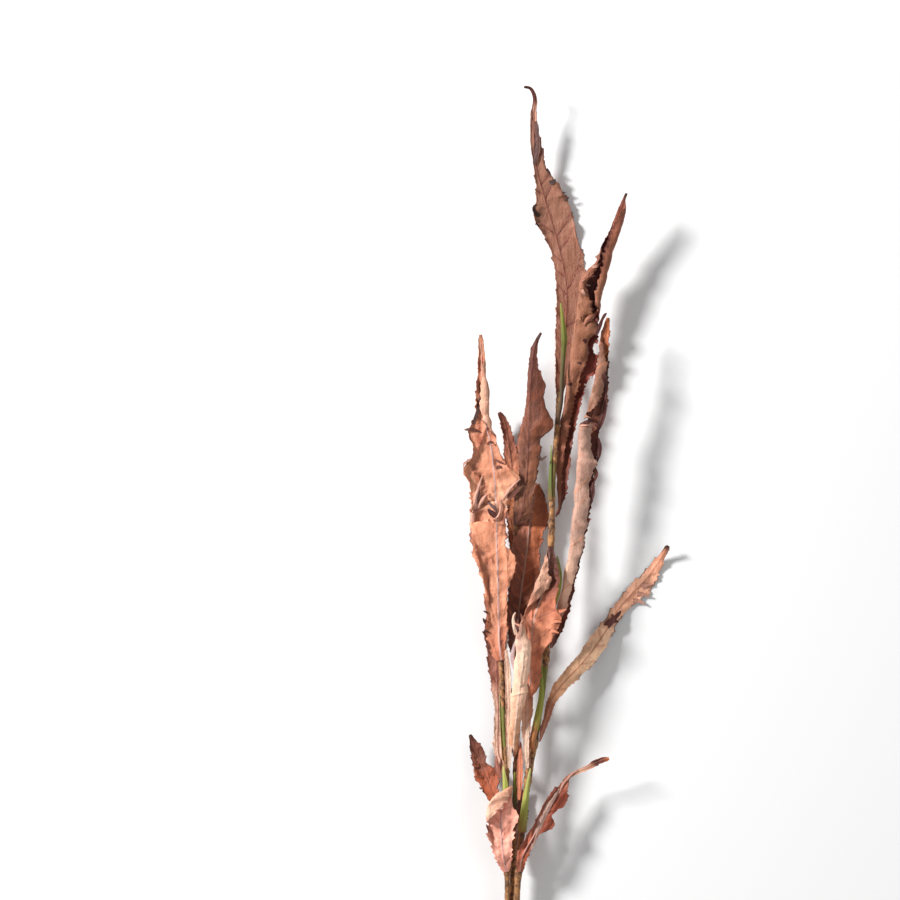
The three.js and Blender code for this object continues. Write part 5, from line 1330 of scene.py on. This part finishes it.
def leaf_finish(plan):
    """Dried leaf: bands of colour, mottling, veins, a midrib, burnt margins and tip, stains partly of painted
    shade, painted shade in holes, and painted shade and light over the crumples
    """
    paint = Paint(plan["name"] + "_finish")
    across, _, edge = paint.place()
    side = paint.attribute("side").between(0.35, 0.65)
    tip = paint.attribute("tip")
    broad = paint.noise(40.0, 3.0)
    mottle = paint.noise(150.0, 4.0, 0.6)
    speck = paint.noise(520.0, 3.0, 0.6)
    grain = paint.noise(1400.0, 3.0, 0.6)
    fibre = paint.noise(420.0, 3.0, 0.6, (1, 0.18, 1))
    where = tip + (broad - 0.5) * 0.1
    upper = paint.bands(where, plan["upper"])
    if "right_upper" in plan:
        upper = paint.mix(upper, paint.bands(where, plan["right_upper"]), across.between(-0.3, 0.3))
    colour = paint.mix(paint.bands(where, plan["lower"]), upper, side)
    blotch = (broad * 0.5 + mottle * 0.6).between(0.5, 0.7) * plan["blotch"]
    colour = paint.mix(colour, linear(plan["blotch_colour"]), blotch)
    # Stains: partly real browning, partly painted shade where the blade folds and rolls
    if plan["stains"]:
        stain_and_shade_mask = paint.attribute("stain") + (mottle - 0.5) * 0.5 + (speck - 0.5) * 0.3
        stain_and_shade_mask = stain_and_shade_mask * paint.attribute("stain").between(0, 0.2)
        colour = paint.mix(colour, linear(plan["stain_colour"]), stain_and_shade_mask)
    near_vein = paint.attribute("vein")
    line = near_vein.between(1.0, 0.25) * edge.between(0.3, 3.0)
    stain = near_vein.between(3.2, 0.2) * edge.between(0.3, 3.0)
    colour = paint.mix(colour, linear(plan["vein"]), (line * 0.8 + stain * 0.3) * plan["vein_strength"])
    rib = across.size().between(plan["rib_width"], plan["rib_width"] * 0.45)
    colour = paint.mix(colour, linear(plan["rib"]), rib * (1 - tip.between(0.8, 1.0)) * 0.85)
    burnt = (paint.attribute("burn") + (mottle - 0.5) * 3.0 + (speck - 0.5) * 1.5).between(-0.5, 0.7)
    colour = paint.mix(colour, linear(EDGE_DARK), burnt * plan["margin_strength"])
    dark_tip = (tip + (mottle - 0.5) * 0.05).between(plan["tip_from"], plan["tip_from"] + 0.03)
    colour = paint.mix(colour, linear(TIP_DARK), dark_tip)
    # Painted shade: near-black spots where holes and tears open onto the shade below them
    if plan["holes"]:
        hole = (paint.attribute("hole") + (speck - 0.5) * 0.3).between(0.3, 0.6)
        colour = paint.mix(colour, linear(MAROON_DARK), hole)
    dent = paint.attribute("dent")
    shade = broad * 0.26 + mottle * 0.44 + speck * 0.26 + grain * 0.2 + fibre * 0.22
    # Painted shade and light: the leaf is darker where its crumples sink and lighter where they rise; the
    # rest of this factor is its own mottled tone
    colour = paint.shade_by(colour, shade + dent.between(-2.0, 1.6) * 0.4 + 0.16)
    ridges = paint.bump(line, 0.00035, 0.6)
    crinkle = paint.bump(fibre * 0.7 + speck * 0.6 + mottle, 0.0012, 0.85, ridges)
    rough = paint.bump(grain, 0.0002, 0.8, crinkle)
    return paint.finish(Base_Color=colour, Roughness=0.52 + mottle * 0.25, Normal=rough)


def sheath_finish(name, stops):
    """Green sheath: lengthwise nerves, orange-brown at its foot"""
    paint = Paint(name + "_finish")
    across, _, edge = paint.place()
    tip = paint.attribute("tip")
    side = paint.attribute("side")
    mottle = paint.noise(160.0, 3.0)
    grain = paint.noise(1100.0, 2.0)
    nerves = (across * 1.1).to_nearest_whole().between(0.0, 0.35)
    colour = paint.bands(tip + (mottle - 0.5) * 0.12, stops)
    colour = paint.mix(linear((80, 74, 32)), colour, side * 0.6 + 0.4)
    colour = paint.mix(colour, linear((160, 160, 84)), edge.between(0.6, 0.1) * 0.2)
    colour = paint.shade_by(colour, 0.76 + nerves * 0.12 + mottle * 0.2 + grain * 0.1)
    relief = paint.bump(nerves + grain * 0.4, 0.0002, 0.8)
    return paint.finish(Base_Color=colour, Roughness=0.55 + mottle * 0.2, Normal=relief)


def tape_finish(name, bare):
    """Crinkled brown tape wound round a stalk, with painted highlights on its crinkles and painted shade in
    their hollows; bare gives the lengths where the green stalk shows
    """
    paint = Paint(name + "_finish")
    turn, along, up = paint.place()
    mottle = paint.noise(150.0, 4.0, 0.65)
    crease = paint.noise(420.0, 4.0, 0.7, (1, 0.35, 1))
    grain = paint.noise(1500.0, 3.0)
    lap = (turn - along / TAPE_PITCH).to_nearest_whole().between(0.09, 0.0)
    colour = paint.mix(linear((104, 68, 42)), linear((178, 124, 76)), mottle.between(0.38, 0.62))
    # Painted highlight: tan on the ridges of the crinkles
    colour = paint.mix(colour, linear((226, 178, 122)), crease.between(0.54, 0.7) * 0.6)
    # Partly the tape's darker patches, partly painted shade in the crinkles' hollows
    colour = paint.mix(colour, linear((46, 28, 20)), (mottle * 0.5 + crease * 0.5).between(0.45, 0.36) * 0.85)
    colour = paint.mix(colour, linear((44, 28, 20)), lap * 0.5)
    stalk = paint.bands(up / 1000.0, [(0, (168, 110, 60)), (0.12, (150, 118, 58)), (0.16, (112, 110, 44)),
                                      (0.3, (120, 116, 50)), (0.5, (112, 84, 48))])
    shows = 0
    for low, high in bare:
        shows = up.between(low, low + 6.0) * up.between(high, high - 6.0) + shows
    if bare:
        colour = paint.mix(colour, stalk, (shows + (mottle - 0.5) * 0.9).between(0.35, 0.6))
    # Painted light and shade again, lighter on the crinkles' ridges, with the tape's fine grain
    colour = paint.shade_by(colour, 0.78 + grain * 0.24 + crease * 0.16)
    relief = paint.bump(crease + grain * 0.3, 0.0007, 0.9)
    relief = paint.bump(lap, 0.0003, 0.6, relief)
    return paint.finish(Base_Color=colour, Roughness=0.6 + mottle * 0.25, Normal=relief)


def finished(piece, material, node):
    piece.data.materials.clear()
    piece.data.materials.append(material)
    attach(piece, "root")
    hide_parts(node)


class FernLeafSettings(bpy.types.PropertyGroup):
    """Sizes of the visible leaves"""

    thickness: bpy.props.FloatProperty(
        name="Leaf thickness", description="Thickness of a leaf blade", default=0.0006, min=0.0003,
        max=0.0009, unit="LENGTH", precision=5)
    fine_teeth: bpy.props.FloatProperty(
        name="Fine teeth", description="Height of the small teeth along the margins", default=0.0014, min=0.0,
        max=0.003, unit="LENGTH", precision=5)
    margin_curl: bpy.props.FloatProperty(
        name="Margin curl", description="How far the dried margins roll up or down", default=math.radians(55),
        min=0.0, max=math.pi, subtype="ANGLE")


class FernStemSettings(bpy.types.PropertyGroup):
    """Sizes of the taped stems"""

    tape_lump: bpy.props.FloatProperty(
        name="Tape creases", description="How far the wound tape's creases stand out", default=0.00022,
        min=0.0, max=0.001, unit="LENGTH", precision=5)
    knot_lump: bpy.props.FloatProperty(
        name="Knot creases", description="The same at the knots", default=0.0006, min=0.0, max=0.002,
        unit="LENGTH", precision=5)


class FernStageSettings(bpy.types.PropertyGroup):
    """The floor and the light"""

    floor_colour: bpy.props.FloatVectorProperty(
        name="Floor colour", description="Colour of the floor", default=(0.9, 0.9, 0.9), size=3, min=0.0,
        max=1.0, subtype="COLOR")
    key_power: bpy.props.FloatProperty(
        name="Key light", description="Power of the large soft light on the left", default=155.0, min=0.0,
        unit="POWER")
    sky: bpy.props.FloatProperty(
        name="Sky", description="Strength of the even light from all round", default=0.31, min=0.0)


def sheath_plans():
    """Each sheath's plan and green"""
    for name, seed, green, foot, rest in SLENDER_SHEATHS:
        yield {"name": name, "seed": seed, "stations": [foot] + [even(*station) for station in rest]}, green
    for *sizes, green in SHEATHS:
        yield sheath_plan(*sizes), green


def build_leaves(context, names):
    settings = context.scene.fern_leaves
    for plan in LEAVES:
        if plan["name"] not in names:
            continue
        whole = {**PLAIN_LEAF, "thickness": settings.thickness / MM, "fine_teeth": settings.fine_teeth / MM,
                 "lip": math.degrees(settings.margin_curl), **plan}
        piece = make_blade(whole)
        finished(piece, leaf_finish(whole), plan["name"])
        piece.name = piece.data.name = plan["name"] + "_leaf"
    return {"FINISHED"}


class FERN_OT_tall_leaves(bpy.types.Operator):
    """Adds the three tallest leaves on the right branch"""

    bl_idname = "fern.tall_leaves"
    bl_label = "Tall Leaves"

    def execute(self, context):
        return build_leaves(context, ("leaf_tall_flat", "leaf_tall_rolled", "leaf_right_rolled"))


class FERN_OT_centre_leaves(bpy.types.Operator):
    """Adds the brown leaves on the middle branch"""

    bl_idname = "fern.centre_leaves"
    bl_label = "Centre Leaves"

    def execute(self, context):
        return build_leaves(context, ("leaf_centre_dark", "leaf_centre_back", "leaf_centre_curled",
                                      "leaf_centre_toothed", "leaf_front_rolled", "leaf_front_strip"))


class FERN_OT_side_leaves(bpy.types.Operator):
    """Adds the bright leaf on the left, the one behind it and the low one on the right"""

    bl_idname = "fern.side_leaves"
    bl_label = "Side Leaves"

    def execute(self, context):
        return build_leaves(context, ("leaf_left_broad", "leaf_left_back", "leaf_right_low"))


class FERN_OT_base_leaves(bpy.types.Operator):
    """Adds the four lowest leaves"""

    bl_idname = "fern.base_leaves"
    bl_label = "Base Leaves"

    def execute(self, context):
        return build_leaves(context, ("leaf_base_left", "leaf_base_front", "leaf_base_right",
                                      "leaf_base_back"))


class FERN_OT_scraps(bpy.types.Operator):
    """Adds the curls, teeth and torn scraps that stand out from the leaves"""

    bl_idname = "fern.scraps"
    bl_label = "Scraps"

    def execute(self, context):
        for plan in SCRAPS:
            finished(make_blade(plan), leaf_finish(plan), plan["node"])
        return {"FINISHED"}


class FERN_OT_sheaths(bpy.types.Operator):
    """Adds the green sheaths that wrap the stems at their nodes"""

    bl_idname = "fern.sheaths"
    bl_label = "Sheaths"

    def execute(self, context):
        for plan, green in sheath_plans():
            piece = make_blade({**PLAIN_SHEATH, **plan})
            finished(piece, sheath_finish(plan["name"], GREEN_BANDS[green]), plan["name"])
            piece.name = piece.data.name = plan["name"] + "_blade"
        return {"FINISHED"}


def tape_lumps(stem, plain, knot, up):
    """How far the tape's creases stand out, which is more at the knots"""
    swell = (stem_radius(stem, up) - stem_radius({**stem, "knots": []}, up)) / KNOT_RISE
    return plain + (knot - plain) * swell


class FERN_OT_stems(bpy.types.Operator):
    """Adds the bound main stem and the three taped branches"""

    bl_idname = "fern.stems"
    bl_label = "Stems"

    def execute(self, context):
        settings = context.scene.fern_stems
        plain, knot = settings.tape_lump / MM, settings.knot_lump / MM
        piece = make_tube("main_stem_tape", MAIN_STEM_PATH, main_radius, MAIN_STEM_SEED,
                          lambda up: np.full(up.shape, plain))
        finished(piece, tape_finish("main_stem", []), "main_stem")
        for number, (name, stem) in enumerate(STEMS.items()):
            radius, lumps = partial(stem_radius, stem), partial(tape_lumps, stem, plain, knot)
            piece = make_tube(f"branch_{name}_tape", stem["path"], radius, STEM_SEED + number, lumps)
            finished(piece, tape_finish(f"branch_{name}", stem["bare"]), f"branch_{name}")
        return {"FINISHED"}


def floor_finish(colour):
    paint = Paint("pale_floor")
    cloud = paint.noise(1.5, 2.0)
    shade = paint.shade_by(colour, 0.985 + cloud * 0.03)
    return paint.finish(Base_Color=shade, Roughness=0.9)


def soft_light(name, power, size, place):
    """A round light that shines at the part's origin"""
    bpy.ops.object.light_add(type="AREA", location=place)
    light = bpy.context.object
    light.name = name
    light.data.energy = power
    light.data.shape = "DISK"
    light.data.size = size
    x, y, z = place
    light.rotation_euler = (math.atan2(math.hypot(x, y), z), 0, math.atan2(-y, -x) - math.pi / 2)


class FERN_OT_stage(bpy.types.Operator):
    """Adds the floor, the lights and the camera above the spray"""

    bl_idname = "fern.stage"
    bl_label = "Stage"

    def execute(self, context):
        settings = context.scene.fern_stage
        bpy.ops.object.select_all(action="DESELECT")
        bpy.ops.mesh.primitive_plane_add(size=FLOOR_SIZE)
        floor = context.object
        floor.name = "floor"
        floor.data.materials.append(floor_finish(settings.floor_colour[:]))
        soft_light("key_light", settings.key_power, KEY_SIZE, KEY_PLACE)
        soft_light("fill_light", settings.key_power * FILL_SHARE, FILL_SIZE, FILL_PLACE)
        world = bpy.data.worlds.new("studio")
        world.use_nodes = True
        world.node_tree.nodes["Background"].inputs["Color"].default_value = (1, 1, 1, 1)
        world.node_tree.nodes["Background"].inputs["Strength"].default_value = settings.sky
        context.scene.world = world
        context.scene.view_settings.view_transform = "Standard"
        across, up = (VIEW_MIDDLE - FOOT_ACROSS - MIDDLE_ACROSS) * MM, (VIEW_MIDDLE - MIDDLE_UP) * MM
        bpy.ops.object.camera_add(location=(across, up, CAMERA_DISTANCE + MIDDLE_LIFT), rotation=(0, 0, 0))
        camera = context.object
        camera.data.sensor_width = SENSOR_MM
        camera.data.lens = SENSOR_MM * CAMERA_DISTANCE / VIEW_SIZE
        camera.data.clip_end = 50
        context.scene.camera = camera
        return {"FINISHED"}


class FERN_PT_panel(bpy.types.Panel):
    """Lists the spray's pieces and its sizes"""

    bl_label = "Dried Fern"
    bl_idname = "FERN_PT_panel"
    bl_space_type = "VIEW_3D"
    bl_region_type = "UI"
    bl_category = "Dried Fern"

    def draw(self, context):
        layout = self.layout
        for group in ("fern_leaves", "fern_stems", "fern_stage"):
            settings = getattr(context.scene, group)
            for name in settings.bl_rna.properties.keys():
                if name not in ("rna_type", "name"):
                    layout.prop(settings, name)
        for operator in OPERATORS:
            layout.operator(operator.bl_idname)


OPERATORS = (FERN_OT_stems, FERN_OT_sheaths, FERN_OT_tall_leaves, FERN_OT_centre_leaves, FERN_OT_side_leaves,
             FERN_OT_base_leaves, FERN_OT_scraps, FERN_OT_stage)
GROUPS = {"fern_leaves": FernLeafSettings, "fern_stems": FernStemSettings, "fern_stage": FernStageSettings}
CLASSES = (*GROUPS.values(), *OPERATORS, FERN_PT_panel)


def register():
    for cls in CLASSES:
        bpy.utils.register_class(cls)
    for name, group in GROUPS.items():
        setattr(bpy.types.Scene, name, bpy.props.PointerProperty(type=group))


def unregister():
    for name in GROUPS:
        delattr(bpy.types.Scene, name)
    for cls in reversed(CLASSES):
        bpy.utils.unregister_class(cls)


def main():
    register()
    bpy.ops.fern.stems()
    bpy.ops.fern.sheaths()
    bpy.ops.fern.tall_leaves()
    bpy.ops.fern.centre_leaves()
    bpy.ops.fern.side_leaves()
    bpy.ops.fern.base_leaves()
    bpy.ops.fern.scraps()
    bpy.ops.fern.stage()


if __name__ == "__main__":
    main()
